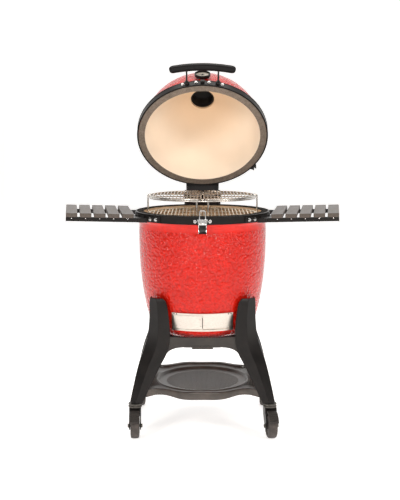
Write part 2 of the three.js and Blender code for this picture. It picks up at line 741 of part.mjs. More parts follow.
function addLatch(grill) {
  const face = -BAND_RADIUS - GAP;
  const middle = RIM_HEIGHT - BAND_OFFSET - BAND_HEIGHT / 2;
  const backing = block(LATCH_WIDTH, 30, BAND_HEIGHT - 6, 0, face + 6, middle);
  const earX = LATCH_TAB_WIDTH / 2 + 2.6;
  const boltX = LATCH_WIDTH / 2 - 10;
  const ears = [-1, 1].map((side) => block(3, 12, 16, side * earX, face - 11, middle - 6));
  const bolts = [-1, 1].map((side) => rod([side * boltX, face - 4, middle], [side * boltX, face - 14, middle], 5, 8));
  const clearOfBand = insideBand(0, RIM_HEIGHT);
  piece('latch_base', cut(join(backing, ...ears, ...bolts), clearOfBand), 'steel', grill);

  const pivotY = face - 14;
  const pivotZ = middle - 10;
  const half = LATCH_TAB_WIDTH / 2;
  const tab = block(LATCH_TAB_WIDTH, 3, LATCH_TAB_HEIGHT, 0, 0, -LATCH_TAB_HEIGHT / 2 - 3);
  const barrel = rod([-half, 0, 0], [half, 0, 0], 3.4, 8);
  piece('latch_lever', join(tab, barrel, block(10, 3, 8, 0, 0, -3)), 'black', grill, [0, pivotY, pivotZ]);

  const across = LATCH_LOOP_WIDTH / 2;
  const wire = (from, to) => rod(from, to, LATCH_WIRE_RADIUS, 6);
  const uprights = [-across, across].map((x) => wire([x, 0, 0], [x, 0, LATCH_LOOP_HEIGHT]));
  const ends = [0, LATCH_LOOP_HEIGHT].map((z) => wire([-across - 1, 0, z], [across + 1, 0, z]));
  const bail = join(...uprights, ...ends);
  piece('latch_loop', bail, 'steel', grill, [0, pivotY - 5.5, pivotZ + 1]);
}

// ---- Cart -------------------------------------------------------------------------------------

// The leg's corner position and wing width at a height, between the stations by straight lines.
function legAt(height) {
  const upper = LEG_STATIONS.findIndex((station) => station.height >= height);
  const above = LEG_STATIONS[Math.max(1, upper === -1 ? LEG_STATIONS.length - 1 : upper)];
  const below = LEG_STATIONS[LEG_STATIONS.indexOf(above) - 1];
  const share = (height - below.height) / (above.height - below.height);
  const between = (key) => below[key] + (above[key] - below[key]) * share;
  return { side: between('side'), front: between('front'), wing: between('wing') };
}

// Front left leg: a folded channel whose two wings meet at a broad corner face.
function cornerLeg() {
  const wing = 2;
  const corner = 1;
  const outline = [[wing, 0], [corner, 0], [0, corner], [0, wing]];
  const inset = outline.map((point) => [...point]).reverse();
  const shape = new THREE.Shape([...outline, ...inset.map(([u, v]) => [u + 0.1, v + 0.1])]
    .map(([u, v]) => new THREE.Vector2(u, v)));
  const steps = LEG_STATIONS.length - 1;
  const leg = new THREE.ExtrudeGeometry(shape, { depth: steps, steps, bevelEnabled: false });
  const position = leg.getAttribute('position');
  for (let i = 0; i < position.count; i += 1) {
    const station = LEG_STATIONS[Math.round(position.getZ(i))];
    const inner = Math.abs((position.getX(i) % 1) - 0.1) < 0.01;
    const u = Math.round(position.getX(i) - (inner ? 0.1 : 0));
    const v = Math.round(position.getY(i) - (inner ? 0.1 : 0));
    const along = (step) => [0, 0.46, 1][step] * station.wing;
    const skew = 0.41 * LEG_THICKNESS;
    const offset = (step, other) => {
      if (!inner) return along(step);
      if (step === 0) return LEG_THICKNESS;
      return along(step) + (step === 1 && other === 0 ? skew : 0);
    };
    position.setXYZ(i, offset(u, v) - station.side, offset(v, u) - station.front, station.height);
  }
  const foot = legAt(LEG_FOOT);
  const size = foot.wing - 2;
  const footPlate = plate([[0, 0.42 * size], [0.42 * size, 0], [size, 0], [size, size], [0, size]], 8, LEG_FOOT)
    .translate(2 - foot.side, 2 - foot.front, -3);
  const stemHole = rod([-CASTER_SIDE, -CASTER_FRONT, 0], [-CASTER_SIDE, -CASTER_FRONT, LEG_FOOT + 40], 7, 12);
  return cut(join(leg, footPlate), stemHole);
}

function archedPanel() {
  const inner = legAt(PANEL_TOP).side - legAt(PANEL_TOP).wing;
  const bottom = PANEL_TOP - PANEL_DEPTH;
  const half = PANEL_HALF_WIDTH;
  return frontPlate([
    [-half, PANEL_TOP + 2],
    [-half, bottom - 24],
    [-inner - 4, bottom - 14],
    [-inner + 20, bottom - 2],
    [-inner + 50, bottom + 2],
    [-46, bottom],
    [-42, bottom - 5],
    [42, bottom - 5],
    [46, bottom],
    [inner - 50, bottom + 2],
    [inner - 20, bottom - 2],
    [inner + 4, bottom - 14],
    [half, bottom - 24],
    [half, PANEL_TOP + 2],
    [60, PANEL_TOP - 1],
    [-60, PANEL_TOP - 1],
  ], PANEL_THICKNESS, 0);
}

// The welded saddle under the body: a ring, two cross bars and the two side rails of the cart.
function saddleFrame() {
  const top = FOOT_HEIGHT - GAP;
  const ring = turned([
    [FOOT_RADIUS - 46, top - 10],
    [FOOT_RADIUS + 12, top - 10],
    [FOOT_RADIUS + 12, top],
    [FOOT_RADIUS - 46, top],
  ], 32);
  const railX = legAt(PANEL_TOP).side - LEG_THICKNESS - GAP - 4;
  const bars = [-60, 60].map((y) => block(2 * railX, 30, 10, 0, y, top - 9));
  const rails = [-1, 1].map((side) => block(6, 2 * PANEL_HALF_WIDTH, PANEL_DEPTH, side * railX, 0,
    PANEL_TOP - PANEL_DEPTH / 2));
  const opening = rod([0, 0, top - 40], [0, 0, top + 10], FOOT_RADIUS - 46, 32);
  return cut(join(ring, ...bars, ...rails), opening);
}

// The shelf's outline between the legs, bulging at the front and the back, drawn in by an inset.
function shelfOutline(inset) {
  const leg = legAt(SHELF_TOP);
  const x = leg.side - LEG_THICKNESS - 4 - inset;
  const y = leg.front - LEG_THICKNESS - 4 - inset;
  const corner = 0.46 * leg.wing + 16;
  const bulge = SHELF_BULGE - inset;
  const right = [
    [0, -bulge],
    [0.3 * x, -(0.92 * bulge + 0.08 * y)],
    [0.56 * x, -(0.1 * bulge + 0.84 * y)],
    [0.68 * x, -0.92 * y],
    [x - leg.wing + 2, -y],
    [x - corner, -y],
    [x, -y + corner],
  ];
  const frontRight = right.slice(1);
  const backRight = frontRight.map(([u, v]) => [u, -v]).reverse();
  const half = [...frontRight, ...backRight];
  return [[0, -bulge], ...half, [0, bulge], ...half.map(([u, v]) => [-u, v]).reverse()];
}

function bottomShelf() {
  const top = SHELF_TOP;
  const floor = top - SHELF_RECESS;
  const outer = plate(shelfOutline(0), SHELF_SKIRT, top - SHELF_SKIRT);
  const underside = plate(shelfOutline(SHELF_SHEET), SHELF_SKIRT, floor - SHELF_SHEET - SHELF_SKIRT);
  const recess = plate(shelfOutline(SHELF_BORDER), SHELF_RECESS + 5, floor);
  const well = rod([0, 0, top - 60], [0, 0, top + 10], DISH_RADIUS - 6, ROUND);
  const dish = turned([
    [0, floor - DISH_DEPTH - SHELF_SHEET],
    [DISH_RADIUS - 12, floor - DISH_DEPTH - SHELF_SHEET],
    [DISH_RADIUS - 4, floor - SHELF_SHEET],
    [DISH_RADIUS, floor - SHELF_SHEET],
    [DISH_RADIUS, floor + 3],
    [DISH_RADIUS - 6, floor + 3],
    [DISH_RADIUS - 16, floor - DISH_DEPTH],
    [0, floor - DISH_DEPTH],
  ]);
  return join(cut(outer, underside, recess, well), dish);
}

function addCart(grill) {
  const leg = cornerLeg();
  for (const [depthWord, back] of [['front', 1], ['rear', -1]]) {
    for (const [sideWord, right] of [['left', 1], ['right', -1]]) {
      piece(`leg_${depthWord}_${sideWord}`, mirrored(leg, right, back), 'black', grill);
    }
  }
  const panelFace = legAt(PANEL_TOP).front - LEG_THICKNESS - GAP - PANEL_THICKNESS - 2;
  piece('front_panel', archedPanel(), 'black', grill, [0, -panelFace - PANEL_THICKNESS, 0]);
  piece('rear_panel', archedPanel(), 'black', grill, [0, panelFace, 0]);
  piece('saddle_frame', saddleFrame(), 'black', grill);
  piece('bottom_shelf', bottomShelf(), 'black', grill);
}

// ---- Casters, modelled about their swivel axis and trailing towards -Y -----------------------------

function casterFork() {
  const inside = WHEEL_WIDTH / 2 + 2.5;
  const trail = -CASTER_TRAIL;
  const side = [
    [-20, FORK_TOP], [20, FORK_TOP], [14, 80], [trail + 14, 36], [trail - 2, 32],
    [trail - 14, 40], [trail - 14, 60], [-30, 96],
  ];
  const cheeks = [-1, 1].map((hand) => cheek(side, FORK_SHEET, hand * (inside + FORK_SHEET / 2)));
  const crown = block(2 * (inside + FORK_SHEET), 40, 5, 0, 0, FORK_TOP - 2.5);
  const race = rod([0, 0, FORK_TOP - 1], [0, 0, LEG_FOOT - 3 - 2], 27, 14);
  const stem = rod([0, 0, FORK_TOP], [0, 0, LEG_FOOT + 16], 6, 8);
  const nut = inside + FORK_SHEET + 4;
  const axle = rod([-nut + 3, trail, WHEEL_RADIUS], [nut - 3, trail, WHEEL_RADIUS], AXLE_RADIUS, 10);
  const nuts = [-1, 1].map((hand) => rod(
    [hand * (inside + 1), trail, WHEEL_RADIUS],
    [hand * nut, trail, WHEEL_RADIUS],
    8,
    6,
  ));
  return join(...cheeks, crown, race, stem, axle, ...nuts);
}

function casterWheel() {
  const half = WHEEL_WIDTH / 2;
  const bore = AXLE_RADIUS + RUNNING;
  return turned([
    [bore, -half],
    [WHEEL_RADIUS - 5, -half],
    [WHEEL_RADIUS, 5 - half],
    [WHEEL_RADIUS, half - 5],
    [WHEEL_RADIUS - 5, half],
    [bore, half],
  ], 24).rotateY(Math.PI / 2);
}

function brakePedal() {
  const side = [[-30, 113], [-58, 110], [-86, 84], [-86, 76], [-78, 77], [-56, 99], [-30, 102]];
  return cheek(side, WHEEL_WIDTH + 3, 0);
}

function addCasters(grill) {
  const places = [
    ['front_left', -1, -1, 2],
    ['front_right', 1, -1, 9],
    ['rear_left', -1, 1, 192],
    ['rear_right', 1, 1, 170],
  ];
  for (const [word, x, y, yaw] of places) {
    const caster = new THREE.Group();
    caster.position.set(x * CASTER_SIDE, y * CASTER_FRONT, 0);
    caster.rotation.z = THREE.MathUtils.degToRad(yaw);
    grill.add(caster);
    piece(`caster_fork_${word}`, casterFork(), 'black', caster);
    piece(`caster_wheel_${word}`, casterWheel(), 'rubber', caster, [0, -CASTER_TRAIL, WHEEL_RADIUS]);
    if (y < 0) piece(`brake_pedal_${word}`, brakePedal(), 'black', caster);
  }
}

// ---- Side shelves --------------------------------------------------------------------------------

// Shelf parts are modelled for the right side: +X points away from the body along the arms.
const ARM_DEPTH = SLAT_THICKNESS + GAP + ARM_HEIGHT / 2;

function shelfArms() {
  const length = (SLAT_COUNT - 1) * SLAT_PITCH + SLAT_WIDTH;
  const start = -SHELF_PIN_INSET;
  const arms = [ARM_INSET, SLAT_LENGTH - ARM_INSET].map((y) => block(length - start, ARM_WIDTH, ARM_HEIGHT,
    (length + start) / 2, y, -ARM_DEPTH));
  const tieDepth = SLAT_THICKNESS + GAP + ARM_TIE / 2;
  const tie = block(12, SLAT_LENGTH - 2 * ARM_INSET, ARM_TIE, -8, SLAT_LENGTH / 2, -tieDepth);
  const eyes = [ARM_INSET, SLAT_LENGTH - ARM_INSET].map((y) => rod(
    [start, y - ARM_WIDTH / 2, -ARM_DEPTH],
    [start, y + ARM_WIDTH / 2, -ARM_DEPTH],
    ARM_HEIGHT / 2,
    12,
  ));
  const boreRadius = SHELF_PIN_RADIUS + RUNNING;
  const bore = rod([start, -50, -ARM_DEPTH], [start, SLAT_LENGTH + 50, -ARM_DEPTH], boreRadius, 12);
  return cut(join(...arms, tie, ...eyes), bore);
}

function slat() {
  const edge = 1.5;
  const side = [
    [0, edge], [edge, 0], [SLAT_WIDTH - edge, 0], [SLAT_WIDTH, edge],
    [SLAT_WIDTH, SLAT_THICKNESS], [0, SLAT_THICKNESS],
  ];
  return plate(side.map(([x, z]) => [x, -z]), SLAT_LENGTH).rotateX(Math.PI / 2).translate(0, SLAT_LENGTH, 0);
}

// The strap on the band that carries one shelf, with a forked lug and pin for each arm.
function shelfBracket(placed) {
  const strap = turned([
    [BAND_RADIUS + GAP, RIM_HEIGHT - BAND_OFFSET - BAND_HEIGHT + 2],
    [BAND_RADIUS + 3.3, RIM_HEIGHT - BAND_OFFSET - BAND_HEIGHT + 2],
    [BAND_RADIUS + 3.3, RIM_HEIGHT - BAND_OFFSET - 2],
    [BAND_RADIUS + GAP, RIM_HEIGHT - BAND_OFFSET - 2],
  ]);
  const body = common(strap, wedge(37, 143, 0, RIM_HEIGHT));
  const lugLength = 150;
  const lugOut = 6 - SHELF_PIN_INSET - lugLength / 2;
  const fork = ARM_WIDTH / 2 + RUNNING;
  const lugs = [];
  for (const y of [ARM_INSET, SLAT_LENGTH - ARM_INSET]) {
    for (const side of [-1, 1]) {
      const at = y + side * (fork + LUG_THICKNESS / 2);
      lugs.push(placed(block(lugLength, LUG_THICKNESS, ARM_HEIGHT, lugOut, at, -ARM_DEPTH)));
    }
    const reach = fork + LUG_THICKNESS;
    const pinX = -SHELF_PIN_INSET;
    lugs.push(placed(rod([pinX, y - reach, -ARM_DEPTH], [pinX, y + reach, -ARM_DEPTH], SHELF_PIN_RADIUS, 12)));
  }
  const clear = insideBand(0, RIM_HEIGHT + 60);
  return cut(join(body, ...lugs), clear);
}

function addSideShelves(grill) {
  for (const [word, side] of [['left', -1], ['right', 1]]) {
    const shelf = new THREE.Group();
    shelf.position.set(side * SLAT_START, -SLAT_FRONT, RIM_HEIGHT);
    shelf.rotation.order = 'ZYX';
    shelf.rotation.z = -side * SHELF_YAW;
    shelf.rotation.y = -side * SHELF_RISE;
    grill.add(shelf);
    shelf.updateMatrix();
    const hand = (geometry) => mirrored(geometry, side, 1);
    const placed = (geometry) => hand(geometry).applyMatrix4(shelf.matrix);
    piece(`shelf_arms_${word}`, hand(shelfArms()), 'black', shelf);
    for (let i = 0; i < SLAT_COUNT; i += 1) {
      piece(`slat_${word}_${i + 1}`, hand(slat()), 'slat', shelf, [side * i * SLAT_PITCH, 0, 0]);
    }
    const bracket = side > 0
      ? shelfBracket(placed)
      : mirrored(shelfBracket((geometry) => mirrored(placed(geometry), -1, 1)), -1, 1);
    piece(`shelf_bracket_${word}`, bracket, 'black', grill);
  }
}

const grill = new THREE.Group();
addCeramicBody(grill);
addFireParts(grill);
addDraftDoor(grill);
addLid(grill);
addLatch(grill);
addCart(grill);
addCasters(grill);
addSideShelves(grill);

// The origin is on the floor under the middle of the whole object.
grill.updateMatrixWorld(true);
const reach = new THREE.Box3().setFromObject(grill, true);
grill.position.y = -(reach.min.y + reach.max.y) / 2;

export default grill;
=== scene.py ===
"""A ceramic charcoal grill on a wheeled steel cart, with its lid open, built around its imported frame."""
import json
import math
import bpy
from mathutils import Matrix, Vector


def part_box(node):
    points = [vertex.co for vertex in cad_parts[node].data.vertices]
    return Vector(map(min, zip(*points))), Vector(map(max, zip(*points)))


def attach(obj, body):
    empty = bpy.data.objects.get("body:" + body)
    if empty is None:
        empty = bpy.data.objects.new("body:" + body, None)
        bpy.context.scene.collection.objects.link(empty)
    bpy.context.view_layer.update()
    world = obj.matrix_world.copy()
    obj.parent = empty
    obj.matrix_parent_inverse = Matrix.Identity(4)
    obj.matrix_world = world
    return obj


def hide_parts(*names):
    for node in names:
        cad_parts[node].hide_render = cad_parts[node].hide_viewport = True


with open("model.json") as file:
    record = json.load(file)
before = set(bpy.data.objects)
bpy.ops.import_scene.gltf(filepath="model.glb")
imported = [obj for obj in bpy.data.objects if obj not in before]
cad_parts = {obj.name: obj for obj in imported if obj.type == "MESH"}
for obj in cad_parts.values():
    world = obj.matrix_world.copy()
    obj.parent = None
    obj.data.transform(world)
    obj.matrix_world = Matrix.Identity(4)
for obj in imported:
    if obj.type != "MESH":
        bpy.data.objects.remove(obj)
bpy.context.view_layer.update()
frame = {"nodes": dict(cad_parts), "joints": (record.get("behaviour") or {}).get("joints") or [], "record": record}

from types import SimpleNamespace

import bmesh
import bpy
from mathutils import Matrix, Vector

bl_info = {
    "name": "Ceramic Cart Grill",
    "version": (1, 0, 0),
    "blender": (4, 5, 0),
    "location": "3D View > Sidebar > Grill",
    "description": "Builds an open ceramic grill on a wheeled cart around its packed frame",
    "category": "Object",
}

# Outlines are drawn in millimetres and scaled when a piece is made.
MM = 0.001
SIDES = {"left": -1, "right": 1}


# ---- Places taken from the frame ---------------------------------------------------------------

def middle(node):
    low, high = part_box(node)
    return (low + high) / 2


def joint(name):
    return next(j for j in frame["joints"] if j["name"] == name)


# Half the gap between the two seals, and the faces round the large turned shapes
SEAL_GAP = 0.3
ROUND_FACES = 180
RIM_CENTRE = Vector((0, middle("base_gasket").y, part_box("base_gasket")[1].z + SEAL_GAP * MM))
HINGE = Vector(joint("lid_hinge")["pos_m"])
LID_OPEN = math.radians(-joint("lid_hinge")["range_deg"][0])
FLOOR_PLACE = Matrix.Translation((0, RIM_CENTRE.y, 0))
BOWL_PLACE = Matrix.Translation(RIM_CENTRE)
LID_PLACE = (
    Matrix.Translation(HINGE)
    @ Matrix.Rotation(-LID_OPEN, 4, "X")
    @ Matrix.Translation(RIM_CENTRE - HINGE)
)
HINGE_REACH = (HINGE.y - RIM_CENTRE.y) / MM
HINGE_RISE = (HINGE.z - RIM_CENTRE.z) / MM
RIM_HEIGHT = RIM_CENTRE.z / MM

# Where the side shelves' pins lie in a shelf, in millimetres from its inner front top corner
PIN_INSET = 26
PIN_MIDDLE = 188.5
ARM_DEPTH = 24.8
ARM_INSET = 22


def mount(name):
    return next(m for m in frame["record"]["mounts"] if m["name"] == name)


def shelf_place(word):
    """Where a side shelf's inner front top corner stands, with Y along its boards."""
    side = SIDES[word]
    fold = joint(f"shelf_{word}_fold")
    along = Vector(fold["axis"]) * side
    up = Vector(mount(f"{word}_shelf_top")["axis"])
    turn = Matrix((along.cross(up), along, up)).transposed().to_4x4()
    pin_in_shelf = Vector((-side * PIN_INSET, PIN_MIDDLE, -ARM_DEPTH)) * MM
    return Matrix.Translation(Vector(fold["pos_m"])) @ turn @ Matrix.Translation(-pin_in_shelf)


def caster_place(word):
    """Where a caster's swivel axis meets the floor, with the wheel trailing towards -Y."""
    swivel = Vector(joint(f"swivel_{word}")["pos_m"])
    roll = Vector(joint(f"roll_{word}")["axis"])
    yaw = math.atan2(roll.y, roll.x)
    return Matrix.Translation((swivel.x, swivel.y, 0)) @ Matrix.Rotation(yaw, 4, "Z")


# ---- Sizes and colours that a user would change --------------------------------------------------

def length(name, description, millimetres):
    return bpy.props.FloatProperty(name=name, description=description, default=millimetres * MM,
                                   unit="LENGTH")


def angle(name, description, degrees):
    return bpy.props.FloatProperty(
        name=name, description=description, default=math.radians(degrees), subtype="ANGLE"
    )


def count(name, description, default):
    return bpy.props.IntProperty(name=name, description=description, default=default, min=1)


def colour(name, description, default):
    return bpy.props.StringProperty(name=name, description=description, default=default)


class CeramicSizes(bpy.types.PropertyGroup):
    """Sizes of the fired body, the lid and their seals."""
    body_radius: length("Body radius", "Widest outside radius of the body below its collar", 262)
    collar_radius: length("Collar radius", "Outside radius of the smooth collar", 270)
    collar_height: length("Collar height", "Height of the smooth collar on body and lid", 36)
    rim_wall: length("Rim wall", "Thickness of the ceramic at the rim", 27)
    wall: length("Wall", "Thickness of the ceramic wall", 26)
    taper: length("Taper", "How much the radius shrinks towards the foot", 63)
    foot_height: length("Foot height", "Height of the body's underside above the floor", 386)
    foot_radius: length("Foot radius", "Radius of the flat underside", 130)
    foot_rounding: length("Foot rounding", "Height over which the foot is rounded", 64)
    dome_height: length("Dome height", "Height of the lid's dome above the rim", 291)
    vent_seat_radius: length("Vent seat radius", "Radius of the flat seat for the top vent", 86)
    vent_hole_radius: length("Vent hole radius", "Radius of the hole under the top vent", 52)
    gasket: length("Gasket thickness", "Thickness of the woven seal on each rim", 3.4)
    band_thickness: length("Band thickness", "Thickness of the steel clamp bands", 6)
    band_height: length("Band height", "Height of the steel clamp bands", 26)
    band_offset: length("Band offset", "Distance from the rim to the band's near edge", 6)


class FittingSizes(bpy.types.PropertyGroup):
    """Sizes of the handle, latch, hinge, vents and grates."""
    handle_length: length("Handle length", "Length of the lid handle", 265)
    handle_depth: length("Handle depth", "Thickness of the grip", 30)
    handle_reach: length("Handle reach", "How far the grip stands off the band", 60)
    handle_rise: length("Handle rise", "Height of the grip above the rim", 40)
    handle_bow: length("Handle bow", "How far the grip's ends draw back", 16)
    post_spacing: length("Post spacing", "Distance between the handle's posts", 128)
    main_radius: length("Main grate radius", "Outside radius of the cooking grates", 228)
    rack_radius: length("Rack radius", "Outside radius of the raised grates", 221)
    main_pitch: length("Main wire pitch", "Distance between the wires of the cooking grates", 15)
    rack_pitch: length("Rack wire pitch", "Distance between the wires of the raised grates", 14)
    door_bottom: length("Door bottom", "Height of the draft door frame's lower edge", 429)
    door_top: length("Door top", "Height of the draft door frame's upper edge", 503)
    door_half_angle: angle("Door half angle", "Half the angle the draft door frame covers", 31)


class CartSizes(bpy.types.PropertyGroup):
    """Sizes of the cart, its casters and the side shelves."""
    leg_sheet: length("Leg sheet", "Thickness of a leg's folded section", 8)
    panel_top: length("Panel top", "Height of the cross panels' top edge", 402)
    panel_depth: length("Panel depth", "Depth of the cross panels at mid span", 42)
    shelf_top: length("Shelf top", "Height of the bottom shelf's border", 190)
    shelf_bulge: length("Shelf bulge", "How far the bottom shelf bulges to front and back", 242)
    shelf_border: length("Shelf border", "Width of the bottom shelf's raised border", 24)
    dish_radius: length("Dish radius", "Radius of the round sunken floor", 193)
    wheel_radius: length("Wheel radius", "Radius of a caster wheel", 49)
    wheel_width: length("Wheel width", "Width of a caster wheel", 34)
    caster_trail: length("Caster trail", "Distance from the swivel axis back to the axle", 26)
    slat_length: length("Slat length", "Length of a shelf board", 377)
    slat_width: length("Slat width", "Width of a shelf board", 45)
    slat_pitch: length("Slat pitch", "Distance from board to board", 55.1)
    slat_thickness: length("Slat thickness", "Thickness of a shelf board", 16)
    slat_count: count("Slats", "Boards in one side shelf", 5)


class GrillColours(bpy.types.PropertyGroup):
    """Surface colours as sRGB hex values."""
    glaze: colour("Glaze", "Red of the glazed ceramic", "#d41e0f")
    bare_ceramic: colour("Bare ceramic", "Cream of the unglazed ceramic", "#fae8d3")
    felt: colour("Seal", "Grey-brown of the woven seals", "#7d7064")
    coat: colour("Powder coat", "Black of the coated steel", "#191614")
    board: colour("Boards", "Grey-brown of the shelf boards", "#4a3f37")
    tyre: colour("Wheels", "Grey of the caster wheels", "#3f3834")


def in_mm(group):
    """The group's values, with every length in millimetres."""
    values = {}
    for name, held in type(group).bl_rna.properties.items():
        if name in ("name", "rna_type"):
            continue
        value = getattr(group, name)
        values[name] = value / MM if getattr(held, "unit", "NONE") == "LENGTH" else value
    return SimpleNamespace(**values)


# ---- Mesh code: every helper adds to a bmesh, in millimetres --------------------------------------

def loft(bm, rings, material=0, around=True, capped=True, closed=False):
    """Joins rings of points by quads. Around closes each ring, closed joins the last to the first."""
    made = [[bm.verts.new(point) for point in ring] for ring in rings]
    pairs = list(zip(made, made[1:]))
    if closed:
        pairs.append((made[-1], made[0]))
    size = len(made[0])
    for low, high in pairs:
        for i in range(size if around else size - 1):
            j = (i + 1) % size
            bm.faces.new((low[i], low[j], high[j], high[i])).material_index = material
    if capped and not closed:
        bm.faces.new(tuple(reversed(made[0]))).material_index = material
        bm.faces.new(made[-1]).material_index = material
    return made


def revolve(bm, profile, material=0, segments=144, turn=None):
    """Turns [radius, height] points about Z. A point on the axis becomes one shared corner."""
    turn = turn or Matrix.Identity(4)
    rings = []
    for radius, height in profile:
        if radius < 1e-6:
            rings.append([bm.verts.new(turn @ Vector((0, 0, height)))])
            continue
        angles = [2 * math.pi * i / segments for i in range(segments)]
        rings.append([
            bm.verts.new(turn @ Vector((radius * math.sin(a), -radius * math.cos(a), height)))
            for a in angles
        ])
    for low, high in zip(rings, rings[1:]):
        for i in range(segments):
            j = (i + 1) % segments
            if len(low) == 1 and len(high) == 1:
                continue
            if len(low) == 1:
                corners = (low[0], high[j], high[i])
            elif len(high) == 1:
                corners = (low[i], low[j], high[0])
            else:
                corners = (low[i], low[j], high[j], high[i])
            bm.faces.new(corners).material_index = material
    return rings


def ring_of(bm, profile, material=0, segments=144, turn=None):
    """A closed ring: the profile's last point joins its first."""
    revolve(bm, [*profile, profile[0]], material, segments, turn)


def slab(bm, size, centre, turn=None, material=0):
    """A block of a size about a centre."""
    turn = turn or Matrix.Identity(4)
    half = Vector(size) / 2
    rings = []
    for z in (-half.z, half.z):
        corners = ((-half.x, -half.y), (half.x, -half.y), (half.x, half.y), (-half.x, half.y))
        rings.append([turn @ (Vector((x, y, z)) + Vector(centre)) for x, y in corners])
    loft(bm, rings, material)


def circle(radius, sides, flatten=1.0):
    return [
        (radius * math.cos(2 * math.pi * i / sides), flatten * radius * math.sin(2 * math.pi * i / sides))
        for i in range(sides)
    ]


def sweep(bm, path, section, material=0, closed=False, scales=None):
    """Carries a flat section along a path of points, keeping it square to the path."""
    points = [Vector(p) for p in path]
    size = len(points)
    tangents = []
    for i in range(size):
        before = points[(i - 1) % size] if closed or i > 0 else points[i]
        after = points[(i + 1) % size] if closed or i < size - 1 else points[i]
        tangents.append((after - before).normalized())
    guide = Vector((0, 0, 1)) if abs(tangents[0].z) < 0.9 else Vector((1, 0, 0))
    side = tangents[0].cross(guide).normalized()
    rings = []
    for i, (point, tangent) in enumerate(zip(points, tangents)):
        side = (side - tangent * side.dot(tangent)).normalized()
        up = side.cross(tangent)
        grow = scales[i] if scales else 1.0
        rings.append([point + side * u * grow + up * v * grow for u, v in section])
    loft(bm, rings, material, closed=closed, capped=not closed)


def wire(bm, path, radius, sides=10, material=0, closed=False):
    sweep(bm, path, circle(radius, sides), material, closed)


def rod(bm, start, end, radius, sides=24, material=0):
    sweep(bm, [start, end], circle(radius, sides), material)


def prism(bm, outline, low, high, turn=None, material=0):
    """A flat outline of [x, y] points given a thickness from low to high along Z."""
    turn = turn or Matrix.Identity(4)
    loft(bm, [[turn @ Vector((x, y, z)) for x, y in outline] for z in (low, high)], material)


def dome_head(bm, centre, out, radius, height, material=0):
    """A round bolt head or rivet: a low dome standing out of a surface."""
    turn = Matrix.Translation(centre) @ Vector(out).to_track_quat("Z", "Y").to_matrix().to_4x4()
    steps = 5
    curve = [(radius * math.cos(a), height * math.sin(a))
             for a in (math.pi / 2 * i / steps for i in range(steps))]
    revolve(bm, [(0, -height), (radius, -height), *curve, (0, height)], material, 20, turn)


def hex_bolt(bm, centre, out, radius, height, material=0):
    """A hexagon head on a thin washer."""
    turn = Matrix.Translation(centre) @ Vector(out).normalized().to_track_quat("Z", "Y").to_matrix().to_4x4()
    revolve(bm, [(0, 0), (1.35 * radius, 0), (1.35 * radius, 0.2 * height), (0, 0.2 * height)], material, 24,
            turn)
    prism(bm, circle(radius, 6), 0.2 * height, height, turn, material)


def smooth_line(points, per_span=8, closed=False):
    """A Catmull-Rom curve through points of any dimension, as tuples."""
    given = [Vector(p) for p in points]
    size = len(given)
    made = []
    spans = size if closed else size - 1
    for i in range(spans):
        a = given[(i - 1) % size] if closed or i > 0 else given[0]
        b = given[i]
        c = given[(i + 1) % size]
        d = given[(i + 2) % size] if closed or i < size - 2 else given[-1]
        for step in range(per_span):
            t = step / per_span
            made.append(
                0.5 * ((2 * b) + (c - a) * t + (2 * a - 5 * b + 4 * c - d) * t ** 2 + (3 * b - a - 3 * c + d)
                       * t ** 3)
            )
    if not closed:
        made.append(given[-1])
    return [tuple(p) for p in made]


def arc(centre_r, centre_z, across, up, start, end, steps):
    """Points on part of an ellipse, from one angle to another in degrees."""
    return [
        (centre_r + across * math.cos(math.radians(a)), centre_z + up * math.sin(math.radians(a)))
        for a in (start + (end - start) * i / steps for i in range(steps + 1))
    ]


def turn_of(place):
    return place.to_3x3().to_4x4()


def make(name, bm, place, body, nodes=(), materials=(), bevel=0.0, rounds=2, keep_turn=False):
    """Turns the collected faces into a piece that stands at a place and rides on a body.

    A piece keeps its turn only if its grain follows it, so that its box stays tight.
    """
    bmesh.ops.remove_doubles(bm, verts=bm.verts, dist=1e-4)
    bmesh.ops.recalc_face_normals(bm, faces=bm.faces)
    bmesh.ops.scale(bm, vec=(MM, MM, MM), verts=bm.verts)
    if not keep_turn:
        bm.transform(turn_of(place))
        place = Matrix.Translation(place.translation)
    mesh = bpy.data.meshes.new(name)
    bm.to_mesh(mesh)
    bm.free()
    mesh.shade_smooth()
    mesh.set_sharp_from_angle(angle=math.radians(35))
    for material in materials:
        mesh.materials.append(material)
    piece = bpy.data.objects.new(name, mesh)
    piece.matrix_world = place
    bpy.context.scene.collection.objects.link(piece)
    if bevel:
        edge = piece.modifiers.new("Rounded edges", "BEVEL")
        edge.width = bevel * MM
        edge.segments = rounds
        edge.limit_method = "ANGLE"
        edge.angle_limit = math.radians(32)
        edge.harden_normals = True
    if nodes:
        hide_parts(*nodes)
    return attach(piece, body)


def carve(piece, bm, place):
    """Cuts the collected closed shapes, drawn at the piece's place, out of the piece."""
    bmesh.ops.recalc_face_normals(bm, faces=bm.faces)
    bmesh.ops.scale(bm, vec=(MM, MM, MM), verts=bm.verts)
    bm.transform(turn_of(place))
    mesh = bpy.data.meshes.new("cutter")
    bm.to_mesh(mesh)
    bm.free()
    cutter = bpy.data.objects.new("cutter", mesh)
    cutter.matrix_world = piece.matrix_world.copy()
    bpy.context.scene.collection.objects.link(cutter)
    cut = piece.modifiers.new("Cut", "BOOLEAN")
    cut.object = cutter
    cut.operation = "DIFFERENCE"
    cut.solver = "EXACT"
    bpy.context.view_layer.update()
    shaped = bpy.data.meshes.new_from_object(piece.evaluated_get(bpy.context.evaluated_depsgraph_get()))
    piece.modifiers.remove(cut)
    piece.data = shaped
    bpy.data.objects.remove(cutter)


# ---- Materials ----------------------------------------------------------------------------------

